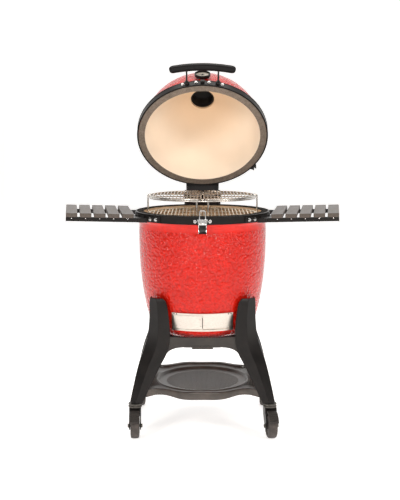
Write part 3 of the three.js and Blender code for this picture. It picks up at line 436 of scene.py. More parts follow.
def linear(hex_value):
    """An sRGB hex value as a linear colour."""
    digits = hex_value.lstrip("#")
    channels = [int(digits[i:i + 2], 16) / 255 for i in (0, 2, 4)]
    return (*[c / 12.92 if c <= 0.04045 else ((c + 0.055) / 1.055) ** 2.4 for c in channels], 1.0)


def add(tree, kind, inputs, stops=(), **settings):
    """Adds one node with its settings, and sets or links its inputs."""
    made = tree.nodes.new(kind)
    for name, value in settings.items():
        setattr(made, name, value)
    for socket, value in inputs.items():
        if isinstance(value, bpy.types.NodeSocket):
            tree.links.new(value, made.inputs[socket])
        else:
            made.inputs[socket].default_value = value
    for i, (position, hex_value) in enumerate(stops):
        element = made.color_ramp.elements[i] if i < 2 else made.color_ramp.elements.new(position)
        element.position = position
        element.color = linear(hex_value)
    return made


def start_material(name):
    """A new material's node tree, and the object's own coordinates in it."""
    material = bpy.data.materials.new(name)
    material.use_nodes = True
    tree = material.node_tree
    tree.nodes.clear()
    return material, tree, add(tree, "ShaderNodeTexCoord", {}).outputs["Object"]


def finish_material(material, inputs):
    """Gives the material its shader with all that drives it."""
    shader = add(material.node_tree, "ShaderNodeBsdfPrincipled", inputs)
    add(material.node_tree, "ShaderNodeOutputMaterial", {"Surface": shader.outputs["BSDF"]})
    return material


def per_mm(millimetres):
    """Texture scale that repeats about every so many millimetres."""
    return 1 / (millimetres * MM)


def shade(value, factor):
    """The hex colour made lighter or darker."""
    digits = value.lstrip("#")
    channels = [min(255, round(int(digits[i:i + 2], 16) * factor)) for i in (0, 2, 4)]
    return "#" + "".join(f"{c:02x}" for c in channels)


def glazed_ceramic(base, pebbled):
    """Fired ceramic under a clear red glaze. Pebbles about 10 mm across catch a glint each, and the hollows
    between them carry painted shade.
    """
    name = "pebbled glazed ceramic" if pebbled else "smooth glazed ceramic"
    material, tree, place = start_material(name)
    fine = add(tree, "ShaderNodeTexNoise",
               {"Vector": place, "Scale": per_mm(30), "Detail": 3.0}).outputs["Fac"]
    cover = add(tree, "ShaderNodeValToRGB", {"Fac": fine}, [(0.3, shade(base, 0.9)), (0.7, shade(base, 1.0))])
    ripple = add(tree, "ShaderNodeBump", {"Height": fine, "Distance": 0.4 * MM}).outputs["Normal"]
    glaze = {"Roughness": 0.08, "IOR": 1.5, "Specular IOR Level": 0.33}
    if not pebbled:
        return finish_material(material, {**glaze, "Base Color": cover.outputs["Color"], "Normal": ripple})
    warp = add(tree, "ShaderNodeTexNoise", {"Vector": place, "Scale": per_mm(11), "Detail": 1.0})
    offset = add(tree, "ShaderNodeVectorMath", {0: warp.outputs["Color"], 1: (0.5, 0.5, 0.5)},
                 operation="SUBTRACT")
    small = add(tree, "ShaderNodeVectorMath", {0: offset.outputs["Vector"], "Scale": 5 * MM},
                operation="SCALE")
    moved = add(tree, "ShaderNodeVectorMath", {0: place, 1: small.outputs["Vector"]},
                operation="ADD").outputs["Vector"]
    cells = add(
        tree, "ShaderNodeTexVoronoi", {"Vector": moved, "Scale": per_mm(10), "Smoothness": 0.35},
        feature="SMOOTH_F1"
    ).outputs["Distance"]
    grains = add(tree, "ShaderNodeTexNoise",
                 {"Vector": place, "Scale": per_mm(6), "Detail": 1.0}).outputs["Fac"]
    under = add(tree, "ShaderNodeBump",
                {"Height": grains, "Distance": 0.7 * MM, "Normal": ripple}).outputs["Normal"]
    pebble = add(tree, "ShaderNodeBump", {"Height": cells, "Distance": 3.3 * MM, "Normal": under},
                 invert=True)
    # Painted shade: the hollows between the pebbles are mixed towards a darker red, 0.84 of the glaze.
    painted_hollow_shade = add(tree, "ShaderNodeMapRange",
                 {"Value": cells, "From Min": 0.35, "From Max": 0.8}).outputs["Result"]
    tone = add(
        tree, "ShaderNodeMix",
        {"Factor": painted_hollow_shade, "A": cover.outputs["Color"], "B": linear(shade(base, 0.84))}, data_type="RGBA",
    )
    return finish_material(
        material, {**glaze, "Base Color": tone.outputs["Result"], "Normal": pebble.outputs["Normal"]}
    )


def bare_ceramic(base):
    """Unglazed refractory ceramic: a dry, faintly pitted surface, turning tan towards the vent as painted shade
    with some smoke browning.
    """
    material, tree, place = start_material("bare ceramic")
    cloudy = add(tree, "ShaderNodeTexNoise",
                 {"Vector": place, "Scale": per_mm(120), "Detail": 5.0}).outputs["Fac"]
    grit = add(tree, "ShaderNodeTexNoise",
               {"Vector": place, "Scale": per_mm(2.5), "Detail": 2.0}).outputs["Fac"]
    cover = add(tree, "ShaderNodeValToRGB", {"Fac": cloudy},
                [(0.3, shade(base, 0.985)), (0.7, shade(base, 1.01))])
    # Painted shade: the ceramic turns tan, up to half of #dca866, with height above the lid's rim towards the
    # vent; it stands in for shading, with some smoke browning.
    up = turn_of(LID_PLACE) @ Vector((0, 0, 1))
    height = add(tree, "ShaderNodeVectorMath", {0: place, 1: up}, operation="DOT_PRODUCT").outputs["Value"]
    painted_shade_and_browning = add(
        tree, "ShaderNodeMapRange",
        {"Value": height, "From Min": 0.13, "From Max": 0.3, "To Min": 0.0, "To Max": 0.5},
        interpolation_type="SMOOTHSTEP",
    )
    tone = add(
        tree, "ShaderNodeMix",
        {"Factor": painted_shade_and_browning.outputs["Result"], "A": cover.outputs["Color"], "B": linear("#dca866")},
        data_type="RGBA",
    )
    pits = add(tree, "ShaderNodeBump", {"Height": grit, "Distance": 0.5 * MM}).outputs["Normal"]
    return finish_material(
        material, {"Base Color": tone.outputs["Result"], "Roughness": 0.92, "IOR": 1.5, "Normal": pits}
    )


def woven_seal(name, base):
    """Woven fibre rope pressed flat: 3 mm threads, no gloss."""
    material, tree, place = start_material(name)
    threads = add(
        tree, "ShaderNodeTexVoronoi", {"Vector": place, "Scale": per_mm(3.2), "Randomness": 0.6}
    ).outputs["Distance"]
    soft = add(tree, "ShaderNodeTexNoise",
               {"Vector": place, "Scale": per_mm(14), "Detail": 4.0}).outputs["Fac"]
    blended = add(tree, "ShaderNodeMath", {0: threads, 1: soft}, operation="MULTIPLY").outputs["Value"]
    cover = add(tree, "ShaderNodeValToRGB", {"Fac": blended},
                [(0.05, shade(base, 1.1)), (0.45, shade(base, 0.75))])
    weave = add(tree, "ShaderNodeBump", {"Height": threads, "Distance": 1.2 * MM}).outputs["Normal"]
    return finish_material(
        material, {"Base Color": cover.outputs["Color"], "Roughness": 0.97, "Specular IOR Level": 0.2,
                   "Normal": weave}
    )


def powder_coat(name, base, gloss):
    """Black polyester powder coat on pressed steel: satin, with a fine orange peel."""
    material, tree, place = start_material(name)
    peel = add(tree, "ShaderNodeTexNoise",
               {"Vector": place, "Scale": per_mm(2.2), "Detail": 2.0}).outputs["Fac"]
    dust = add(tree, "ShaderNodeTexNoise",
               {"Vector": place, "Scale": per_mm(45), "Detail": 4.0}).outputs["Fac"]
    cover = add(tree, "ShaderNodeValToRGB", {"Fac": dust},
                [(0.35, shade(base, 0.88)), (0.7, shade(base, 1.15))])
    satin = add(tree, "ShaderNodeMapRange", {"Value": dust, "To Min": 0.26, "To Max": 0.38}).outputs["Result"]
    skin = add(tree, "ShaderNodeBump", {"Height": peel, "Distance": 0.08 * MM}).outputs["Normal"]
    return finish_material(
        material, {"Base Color": cover.outputs["Color"], "Roughness": satin, "IOR": 1.5,
                   "Specular IOR Level": gloss, "Normal": skin}
    )


def brushed_stainless(name, hex_value, roughness, along):
    """Stainless sheet or bar with fine lines left by the brushing belt along one direction."""
    material, tree, place = start_material(name)
    stretch = [per_mm(1.6)] * 3
    stretch["XYZ".index(along)] = per_mm(60)
    lines = add(tree, "ShaderNodeMapping", {"Vector": place, "Scale": stretch}).outputs["Vector"]
    streaks = add(tree, "ShaderNodeTexNoise", {"Vector": lines, "Scale": 1.0, "Detail": 3.0}).outputs["Fac"]
    cover = add(
        tree, "ShaderNodeValToRGB", {"Fac": streaks},
        [(0.3, shade(hex_value, 0.93)), (0.7, shade(hex_value, 1.05))]
    )
    polish = add(
        tree, "ShaderNodeMapRange", {"Value": streaks, "To Min": 0.75 * roughness, "To Max": 1.3 * roughness}
    ).outputs["Result"]
    scored = add(tree, "ShaderNodeBump", {"Height": streaks, "Distance": 0.03 * MM}).outputs["Normal"]
    return finish_material(
        material, {"Base Color": cover.outputs["Color"], "Metallic": 1.0, "Roughness": polish,
                   "Normal": scored}
    )


def bright_plate(name, hex_value, roughness):
    """Bright chrome or zinc plating over turned steel, a little uneven."""
    material, tree, place = start_material(name)
    smudge = add(tree, "ShaderNodeTexNoise",
                 {"Vector": place, "Scale": per_mm(12), "Detail": 3.0}).outputs["Fac"]
    cover = add(tree, "ShaderNodeValToRGB", {"Fac": smudge}, [(0.3, shade(hex_value, 0.9)), (0.7, hex_value)])
    polish = add(
        tree, "ShaderNodeMapRange", {"Value": smudge, "To Min": roughness, "To Max": 1.8 * roughness}
    ).outputs["Result"]
    return finish_material(material,
                           {"Base Color": cover.outputs["Color"], "Metallic": 1.0, "Roughness": polish})


def cast_metal(name, hex_value, metallic, roughness):
    """Sand-cast metal: a grainy skin about a millimetre coarse."""
    material, tree, place = start_material(name)
    grain = add(tree, "ShaderNodeTexNoise",
                {"Vector": place, "Scale": per_mm(1.5), "Detail": 4.0}).outputs["Fac"]
    patch = add(tree, "ShaderNodeTexNoise",
                {"Vector": place, "Scale": per_mm(25), "Detail": 3.0}).outputs["Fac"]
    cover = add(
        tree, "ShaderNodeValToRGB", {"Fac": patch},
        [(0.3, shade(hex_value, 0.85)), (0.7, shade(hex_value, 1.15))]
    )
    skin = add(tree, "ShaderNodeBump", {"Height": grain, "Distance": 0.35 * MM}).outputs["Normal"]
    return finish_material(
        material,
        {"Base Color": cover.outputs["Color"], "Metallic": metallic, "Roughness": roughness, "Normal": skin},
    )


def moulded_nylon(name, base):
    """Moulded glass-filled nylon: satin, with a fine spark-eroded grain."""
    material, tree, place = start_material(name)
    grain = add(tree, "ShaderNodeTexNoise",
                {"Vector": place, "Scale": per_mm(1.2), "Detail": 2.0}).outputs["Fac"]
    cover = add(tree, "ShaderNodeValToRGB", {"Fac": grain},
                [(0.35, shade(base, 0.85)), (0.7, shade(base, 1.2))])
    skin = add(tree, "ShaderNodeBump", {"Height": grain, "Distance": 0.12 * MM}).outputs["Normal"]
    return finish_material(
        material, {"Base Color": cover.outputs["Color"], "Roughness": 0.42, "IOR": 1.53,
                   "Specular IOR Level": 0.15, "Normal": skin}
    )


def grained_board(base):
    """Extruded wood-plastic board, brushed so that grain 2 to 3 mm wide runs along it."""
    material, tree, place = start_material("wood-plastic board")
    scale = (per_mm(3.2), per_mm(110), per_mm(3.2))
    lines = add(tree, "ShaderNodeMapping", {"Vector": place, "Scale": scale}).outputs["Vector"]
    grain = add(tree, "ShaderNodeTexNoise", {"Vector": lines, "Scale": 1.0, "Detail": 5.0}).outputs["Fac"]
    tone = add(tree, "ShaderNodeTexNoise",
               {"Vector": place, "Scale": per_mm(60), "Detail": 2.0}).outputs["Fac"]
    both = add(tree, "ShaderNodeMath", {0: grain, 1: tone, 2: 0.1}, operation="MULTIPLY_ADD").outputs["Value"]
    cover = add(
        tree, "ShaderNodeValToRGB", {"Fac": both},
        [(0.2, shade(base, 0.72)), (0.36, base), (0.55, shade(base, 1.22))]
    )
    satin = add(tree, "ShaderNodeMapRange", {"Value": grain, "To Min": 0.3, "To Max": 0.5}).outputs["Result"]
    ridges = add(tree, "ShaderNodeBump", {"Height": grain, "Distance": 0.25 * MM}).outputs["Normal"]
    return finish_material(
        material, {"Base Color": cover.outputs["Color"], "Roughness": satin, "IOR": 1.5, "Normal": ridges}
    )


def wheel_rubber(base):
    """Grey-black thermoplastic rubber tread: dull, dusty, slightly pitted."""
    material, tree, place = start_material("caster rubber")
    dust = add(tree, "ShaderNodeTexNoise",
               {"Vector": place, "Scale": per_mm(18), "Detail": 5.0}).outputs["Fac"]
    pits = add(tree, "ShaderNodeTexNoise",
               {"Vector": place, "Scale": per_mm(1.8), "Detail": 2.0}).outputs["Fac"]
    cover = add(tree, "ShaderNodeValToRGB", {"Fac": dust},
                [(0.3, shade(base, 0.8)), (0.7, shade(base, 1.25))])
    skin = add(tree, "ShaderNodeBump", {"Height": pits, "Distance": 0.25 * MM}).outputs["Normal"]
    return finish_material(
        material, {"Base Color": cover.outputs["Color"], "Roughness": 0.62, "IOR": 1.5, "Normal": skin}
    )


def dial_paint():
    """Cream enamelled dial, yellowed and faintly mottled by smoke."""
    material, tree, place = start_material("dial enamel")
    mottle = add(tree, "ShaderNodeTexNoise",
                 {"Vector": place, "Scale": per_mm(6), "Detail": 3.0}).outputs["Fac"]
    cover = add(tree, "ShaderNodeValToRGB", {"Fac": mottle}, [(0.3, "#a39a8c"), (0.7, "#c2b8a9")])
    return finish_material(material, {"Base Color": cover.outputs["Color"], "Roughness": 0.35, "IOR": 1.5})


def pale_floor():
    """White studio paper that glows a little so that it stays white, with a barely visible fibre."""
    material, tree, place = start_material("studio paper")
    fibre = add(tree, "ShaderNodeTexNoise",
                {"Vector": place, "Scale": per_mm(4), "Detail": 3.0}).outputs["Fac"]
    cover = add(tree, "ShaderNodeValToRGB", {"Fac": fibre}, [(0.3, "#f9f8f7"), (0.7, "#fdfcfb")])
    return finish_material(
        material,
        {"Base Color": cover.outputs["Color"], "Roughness": 0.95, "Specular IOR Level": 0.1,
         "Emission Color": cover.outputs["Color"], "Emission Strength": 0.62},
    )


MAKERS = {
    "pebbled glaze": lambda c: glazed_ceramic(c.glaze, True),
    "smooth glaze": lambda c: glazed_ceramic(c.glaze, False),
    "bare ceramic": lambda c: bare_ceramic(c.bare_ceramic),
    "seal": lambda c: woven_seal("woven fibre seal", c.felt),
    # The body's seal at three tenths of the lid seal's colour: partly soot, partly painted shade.
    "sooty and shaded seal": lambda c: woven_seal("sooty and shaded fibre seal", shade(c.felt, 0.3)),
    "coat": lambda c: powder_coat("powder-coated steel", c.coat, 0.2),
    # Painted light: the cross panels' coat is the black coat made 1.8 times lighter and glossier, standing in for
    # the light and reflection they catch.
    "tray coat with painted light": lambda c: powder_coat("powder-coated tray steel with painted light", shade(c.coat, 1.8), 0.4),
    # Painted reflection and light: the bottom shelf's coat is the black coat made 2.9 times lighter, standing in
    # for the bright floor it reflects and the light on it.
    "shelf coat with painted reflection": lambda c: powder_coat("powder-coated tray with painted reflection", shade(c.coat, 2.9), 0.55),
    "bright wire": lambda c: brushed_stainless("electropolished wire", "#efe0c8", 0.3, "Y"),
    "sheet stainless": lambda c: brushed_stainless("brushed stainless sheet", "#d6cdc3", 0.32, "X"),
    "wire": lambda c: brushed_stainless("drawn stainless wire", "#cfc9c2", 0.24, "Y"),
    "chrome": lambda c: bright_plate("bright chrome plate", "#e4e2df", 0.08),
    "zinc": lambda c: bright_plate("zinc plate", "#6b6762", 0.34),
    "spring": lambda c: bright_plate("spring steel", "#8f8b86", 0.3),
    "iron": lambda c: cast_metal("cast iron", "#4a4542", 0.7, 0.7),
    "vent": lambda c: cast_metal("black cast aluminium", "#24211f", 0.0, 0.5),
    "grip": lambda c: moulded_nylon("moulded black nylon", "#141212"),
    "pedal": lambda c: moulded_nylon("moulded grey nylon", "#3a3634"),
    "board": lambda c: grained_board(c.board),
    "tyre": lambda c: wheel_rubber(c.tyre),
    "dial": lambda c: dial_paint(),
    "floor": lambda c: pale_floor(),
}
MADE = {}


def finish_of(context, name):
    """The material of that name, made the first time it is asked for."""
    if name not in MADE:
        MADE[name] = MAKERS[name](context.scene.grill_colours)
    return MADE[name]


def dress(context, node, name):
    """Gives a carried-over CAD node its finish."""
    piece = frame["nodes"][node]
    piece.data.materials.clear()
    piece.data.materials.append(finish_of(context, name))


# ---- Outlines that several pieces share ----------------------------------------------------------

def body_radius(c, height):
    """The body's outside radius at a height above the floor."""
    collar_bottom = RIM_HEIGHT - c.collar_height
    drop = max(0.0, collar_bottom - height) / (collar_bottom - c.foot_height)
    return c.body_radius - c.taper * drop ** 2.8


def steps_between(low, high, steps):
    return [low + (high - low) * i / steps for i in range(steps + 1)]


def band_radius(c):
    return c.collar_radius + 0.3 + c.band_thickness


def band_ring(bm, c, side):
    """A clamp band: a strip with a rolled lip along each edge."""
    inner = c.collar_radius + 0.3
    outer = band_radius(c)
    low = side * 0.6
    high = side * (c.band_offset + c.band_height)
    lip = 3.2 * side
    web = outer - 1.6
    ring_of(bm, [
        (inner, low), (outer - 1, low), (outer, low + 0.3 * lip), (outer, low + 0.8 * lip),
        (web, low + 1.3 * lip), (web, high - 1.3 * lip), (outer, high - 0.8 * lip), (outer, high - 0.3 * lip),
        (outer - 1, high), (inner, high),
    ])


def gasket_ring(bm, c, side):
    """A woven seal pressed flat on the rim, its edges rounded."""
    outer = c.collar_radius - 0.5
    inner = c.collar_radius - c.rim_wall + 0.5
    low = SEAL_GAP * side
    high = side * (SEAL_GAP + c.gasket)
    ring_of(bm, [
        (inner, low + 0.9 * side), (inner + 0.9, low), (outer - 0.9, low), (outer, low + 0.9 * side),
        (outer, high), (inner, high),
    ], segments=ROUND_FACES)


# ---- Ceramic body --------------------------------------------------------------------------------

def build_bowl(context, c):
    bm = bmesh.new()
    foot = c.foot_height
    rounding_top = foot + c.foot_rounding
    across = body_radius(c, rounding_top) - c.foot_radius
    collar_bottom = RIM_HEIGHT - c.collar_height
    seat = RIM_HEIGHT - c.gasket - 2 * SEAL_GAP
    pebbled = [
        (0, foot),
        *arc(c.foot_radius, rounding_top, across, c.foot_rounding, -90, 0, 12),
        *[(body_radius(c, z), z) for z in steps_between(rounding_top + 12, collar_bottom - 30, 24)],
    ]
    collar = [
        (body_radius(c, collar_bottom - 30), collar_bottom - 30), (c.body_radius, collar_bottom - 8),
        (c.body_radius + 2, collar_bottom - 5), (c.collar_radius - 1.5, collar_bottom - 1),
        (c.collar_radius, collar_bottom + 2), (c.collar_radius, seat - 2), (c.collar_radius - 2, seat),
    ]
    inside = [
        (c.collar_radius - 2, seat), (c.collar_radius - c.rim_wall + 2, seat),
        (c.collar_radius - c.rim_wall, seat - 2),
        *[(body_radius(c, z) - c.wall, z) for z in steps_between(collar_bottom, rounding_top, 10)],
        (c.foot_radius + 22, foot + 28), (0, foot + 28),
    ]
    for profile, material in ((pebbled, 0), (collar, 1), (inside, 2)):
        revolve(bm, profile, material, ROUND_FACES)
    finishes = [finish_of(context, name) for name in ("pebbled glaze", "smooth glaze", "bare ceramic")]
    bowl = make("ceramic_body", bm, FLOOR_PLACE, "grill_base", ["base_bowl"], finishes)
    hole = bmesh.new()
    slab(hole, (180, 262, 46), (0, -c.foot_radius - 131, 466))
    carve(bowl, hole, FLOOR_PLACE)


class GRILL_OT_body(bpy.types.Operator):
    """Builds the glazed body with its seal and clamp band"""
    bl_idname = "grill.body"
    bl_label = "Ceramic Body"

    def execute(self, context):
        c = in_mm(context.scene.grill_ceramic)
        build_bowl(context, c)
        bm = bmesh.new()
        gasket_ring(bm, c, -1)
        # The body's seal takes the darker copy of the seal: partly soot, partly painted shade.
        make("body_seal", bm, BOWL_PLACE, "grill_base", ["base_gasket"], [finish_of(context, "sooty and shaded seal")])
        bm = bmesh.new()
        band_ring(bm, c, -1)
        make("body_band", bm, BOWL_PLACE, "grill_base", ["lower_band"], [finish_of(context, "coat")])
        bm = bmesh.new()
        strap = band_radius(c) + 3.3
        for turn in (41, 47.5, 132.5, 139):
            for side in (-1, 1):
                out = Vector((side * math.sin(math.radians(turn)), -math.cos(math.radians(turn)), 0))
                centre = strap * out - Vector((0, 0, c.band_offset + c.band_height / 2))
                hex_bolt(bm, centre, out, 5.2, 5)
        make("shelf_strap_bolts", bm, BOWL_PLACE, "grill_base", (), [finish_of(context, "chrome")],
             0.4)
        return {"FINISHED"}


# ---- Fire parts and grates -----------------------------------------------------------------------

def half_moon(bm, radius, pitch, side, rim=3.2, bar=2.4):
    """Half a round grate: bent rim wire, straight wire along the split, and the wires it carries."""
    centre = radius - rim
    inner = 3 + rim
    start = math.degrees(math.asin(inner / centre))
    bend = [
        (side * centre * math.sin(math.radians(a)), -centre * math.cos(math.radians(a)), 0)
        for a in steps_between(start, 180 - start, 48)
    ]
    wire(bm, bend, rim, 12, closed=True)
    x = inner + pitch
    while x < centre - rim:
        chord = math.sqrt(centre ** 2 - x ** 2)
        wire(bm, [(side * x, -chord, 0.6), (side * x, chord, 0.6)], bar, 8)
        x += pitch
    for share in (-0.72, -0.26, 0.26, 0.72):
        y = share * centre
        wire(bm, [(side * inner, y, -0.8), (side * math.sqrt(centre ** 2 - y ** 2), y, -0.8)], bar, 8)


def build_rack_frame(bm, ring_radius, foot):
    """The raised rack: a ring on two cross bars, with side legs and four feet."""
    leg = 3.0
    circle_path = [(ring_radius * math.cos(a), ring_radius * math.sin(a), 0)
                   for a in (2 * math.pi * i / 96 for i in range(96))]
    wire(bm, circle_path, leg, 12, closed=True)
    y = 0.62 * ring_radius
    x = math.sqrt(ring_radius ** 2 - y ** 2)
    for end in (-1, 1):
        wire(bm, [(-x, end * y, 0), (x, end * y, 0)], leg, 12)
        for side in (-1, 1):
            bent = [(side * 17, end * y, 0), (side * 22, end * y, -2), (side * 23, end * y, -8),
                    (side * 23, end * y, foot)]
            wire(bm, smooth_line(bent, 4), leg, 12)
    out = ring_radius + 4
    for side in (-1, 1):
        hook = [(side * (out - 12), 0, 9), (side * (out - 4), 0, 9.5), (side * out, 0, 5),
                (side * out, 0, -6), (side * out, 0, foot + 4), (side * (out - 1), 0, foot)]
        wire(bm, smooth_line(hook, 5), leg, 12)


class GRILL_OT_grates(bpy.types.Operator):
    """Builds the cooking grates and the raised rack, and dresses the fire parts below them"""
    bl_idname = "grill.grates"
    bl_label = "Grates and Fire Parts"

    def execute(self, context):
        f = in_mm(context.scene.grill_fittings)
        wires = [finish_of(context, "wire")]
        bright = [finish_of(context, "bright wire")]
        main_z = middle("main_grate_left").z
        rack_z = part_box("rack_grate_left")[0].z + 3.2 * MM
        for word, side in SIDES.items():
            bm = bmesh.new()
            half_moon(bm, f.main_radius, f.main_pitch, side)
            place = FLOOR_PLACE @ Matrix.Translation((0, 0, main_z))
            make(f"cooking_grate_{word}", bm, place, "main_grates", [f"main_grate_{word}"], bright)
            bm = bmesh.new()
            half_moon(bm, f.rack_radius, f.rack_pitch, side)
            place = FLOOR_PLACE @ Matrix.Translation((0, 0, rack_z))
            make(f"raised_grate_{word}", bm, place, f"rack_grate_{word}", [f"rack_grate_{word}"], wires)
        low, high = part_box("rack_frame")
        ring_z = high.z / MM - 10
        bm = bmesh.new()
        build_rack_frame(bm, f.rack_radius, low.z / MM - ring_z)
        place = FLOOR_PLACE @ Matrix.Translation((0, 0, ring_z * MM))
        make("rack_wire_frame", bm, place, "rack_frame", ["rack_frame"], wires)
        dress(context, "firebox", "bare ceramic")
        dress(context, "fire_ring", "bare ceramic")
        dress(context, "charcoal_grate", "iron")
        return {"FINISHED"}


# ---- Draft door ----------------------------------------------------------------------------------

def curved_sheet(bm, c, offset, thickness, bottom, top, left, right, material=0):
    """A sheet bent round the body between two distances to the side."""
    across = max(2, round(abs(right - left) / 5))
    rings = []
    for z, reach in ((bottom, offset), (bottom, offset + thickness), (top, offset + thickness),
                     (top, offset)):
        radius = body_radius(c, z) + reach
        rings.append([Vector((x, -math.sqrt(radius ** 2 - x ** 2), z))
                      for x in steps_between(left, right, across)])
    columns = [[ring[i] for ring in rings] for i in range(across + 1)]
    loft(bm, columns, material)


def on_sheet(c, x, z, offset):
    """A point a distance off the body, and the direction out of it."""
    radius = body_radius(c, z) + offset
    y = -math.sqrt(radius ** 2 - x ** 2)
    return Vector((x, y, z)), Vector((x, y, 0)).normalized()


class GRILL_OT_draft_door(bpy.types.Operator):
    """Builds the draft door's frame with its rails and rivets, and the sheet that slides in it"""
    bl_idname = "grill.draft_door"
    bl_label = "Draft Door"

    def execute(self, context):
        c = in_mm(context.scene.grill_ceramic)
        f = in_mm(context.scene.grill_fittings)
        bottom, top = f.door_bottom, f.door_top
        half = (body_radius(c, top) + 2) * math.sin(f.door_half_angle)
        rail = 7
        bm = bmesh.new()
        window_left, window_right = -0.78 * half, -0.1 * half
        curved_sheet(bm, c, 2, 2, bottom, bottom + 2 * rail, -half, half)
        curved_sheet(bm, c, 2, 2, top - 2 * rail, top, -half, half)
        curved_sheet(bm, c, 2, 2, bottom + 2 * rail, top - 2 * rail, -half, window_left)
        curved_sheet(bm, c, 2, 2, bottom + 2 * rail, top - 2 * rail, window_right, half)
        for low, high in ((bottom, bottom + rail), (top - rail, top)):
            curved_sheet(bm, c, 4, 3.2, low, high, -half, half)
        for side in (-1, 1):
            for step in (9, 19):
                at, out = on_sheet(c, side * (half - step), top - rail / 2, 7)
                dome_head(bm, at, out, 2.8, 1.6, 1)
            at, out = on_sheet(c, side * (half - 12), bottom + 11, 5)
            slab(bm, (15, 3, 13), (0, 0, 0),
                 Matrix.Translation(at) @ out.to_track_quat("-Y", "Z").to_matrix().to_4x4())
        steel = [finish_of(context, "sheet stainless"), finish_of(context, "coat")]
        at, out = on_sheet(c, -half + 20, bottom + 30, 4.3)
        turn = Matrix.Translation(at) @ out.to_track_quat("-Y", "Z").to_matrix().to_4x4()
        slab(bm, (3, 0.8, 18), (0, 0, 0), turn, 1)
        make("draft_door_frame_steel", bm, FLOOR_PLACE, "grill_base", ["draft_door_frame"], steel,
             0.5)
        bm = bmesh.new()
        reach = half - 8
        door_low, door_high = bottom + rail + 1.5, top - rail - 1.5
        curved_sheet(bm, c, 5, 2, door_low, door_high, -reach, 2)
        curved_sheet(bm, c, 5, 8.5, door_low + 6, door_high - 8, -1.2, 1.2, 1)
        for z in (door_low + 14, door_high - 16):
            at, out = on_sheet(c, -10, z, 7)
            dome_head(bm, at, out, 2.4, 1.4)
        make("draft_door_sheet", bm, FLOOR_PLACE, "draft_door", ["draft_door"], steel, 0.4)
        return {"FINISHED"}


# ---- Lid -----------------------------------------------------------------------------------------

def dial_place(c):
    """The point on the dome under the dial, and the turn that points Z out of it."""
    tilt = math.radians(17)
    at = Vector((0, -c.body_radius * math.cos(tilt), c.dome_height * math.sin(tilt)))
    out = Vector((0, -math.cos(tilt) / c.body_radius, math.sin(tilt) / c.dome_height)).normalized()
    return Matrix.Translation(at) @ out.to_track_quat("Z", "X").to_matrix().to_4x4()


def vent_seat_height(c):
    """Height of the flat seat for the top vent, above the rim."""
    return math.sqrt(1 - (c.vent_seat_radius / c.body_radius) ** 2) * c.dome_height + 8


def build_dome(context, c):
    bm = bmesh.new()
    seat = c.gasket + 2 * SEAL_GAP
    collar = c.collar_height
    start = math.degrees(math.asin((collar + 8) / c.dome_height))
    end = math.degrees(math.acos(c.vent_seat_radius / c.body_radius))
    top = vent_seat_height(c)
    rim = [
        (c.collar_radius - 2, seat), (c.collar_radius, seat + 2), (c.collar_radius, collar - 2),
        (c.collar_radius - 1.5, collar + 1), (c.body_radius + 1.5, collar + 4),
    ]
    outside = arc(0, 0, c.body_radius, c.dome_height, start, end, 32)
    neck = [outside[-1], (c.vent_seat_radius - 4, top - 1), (c.vent_seat_radius - 8, top),
            (c.vent_hole_radius + 2, top), (c.vent_hole_radius, top - 2)]
    inner_radius = c.body_radius - c.wall
    inner_height = c.dome_height - c.wall
    inner_end = math.degrees(math.acos(c.vent_hole_radius / inner_radius))
    inside = [
        (c.vent_hole_radius, top - 2),
        *reversed(arc(0, 0, inner_radius, inner_height, 12, inner_end, 30)),
        (c.collar_radius - c.rim_wall, seat + 4), (c.collar_radius - c.rim_wall + 2, seat),
        (c.collar_radius - 2, seat),
    ]
    revolve(bm, [*rim, outside[0]], 1, ROUND_FACES)
    revolve(bm, outside, 0, ROUND_FACES)
    revolve(bm, neck, 1, ROUND_FACES)
    revolve(bm, inside, 2, ROUND_FACES)
    finishes = [finish_of(context, name) for name in ("pebbled glaze", "smooth glaze", "bare ceramic")]
    dome = make("ceramic_lid", bm, LID_PLACE, "lid", ["lid_dome"], finishes)
    hole = bmesh.new()
    place = dial_place(c)
    rod(hole, place @ Vector((0, 0, -110)), place @ Vector((0, 0, 40)), 5.5)
    carve(dome, hole, LID_PLACE)


def build_lid_band(context, c):
    """The upper clamp band with the latch strike, and the bolted ears that draw it tight."""
    bm = bmesh.new()
    band_ring(bm, c, 1)
    outer = band_radius(c)
    band_middle = c.band_offset + c.band_height / 2
    slab(bm, (17, 11, 12), (0, -outer - 3, band_middle))
    around = Matrix.Rotation(math.radians(129.5), 4, "Z")
    for x in (-7, 7):
        slab(bm, (3.5, 24, c.band_height - 3), (x, -outer - 9, band_middle), around)
    rod(bm, around @ Vector((-16, -outer - 12, band_middle)), around @ Vector((18, -outer - 12, band_middle)),
        3, 12)
    make("lid_band", bm, LID_PLACE, "lid", ["upper_band"], [finish_of(context, "coat")],
         0.8)


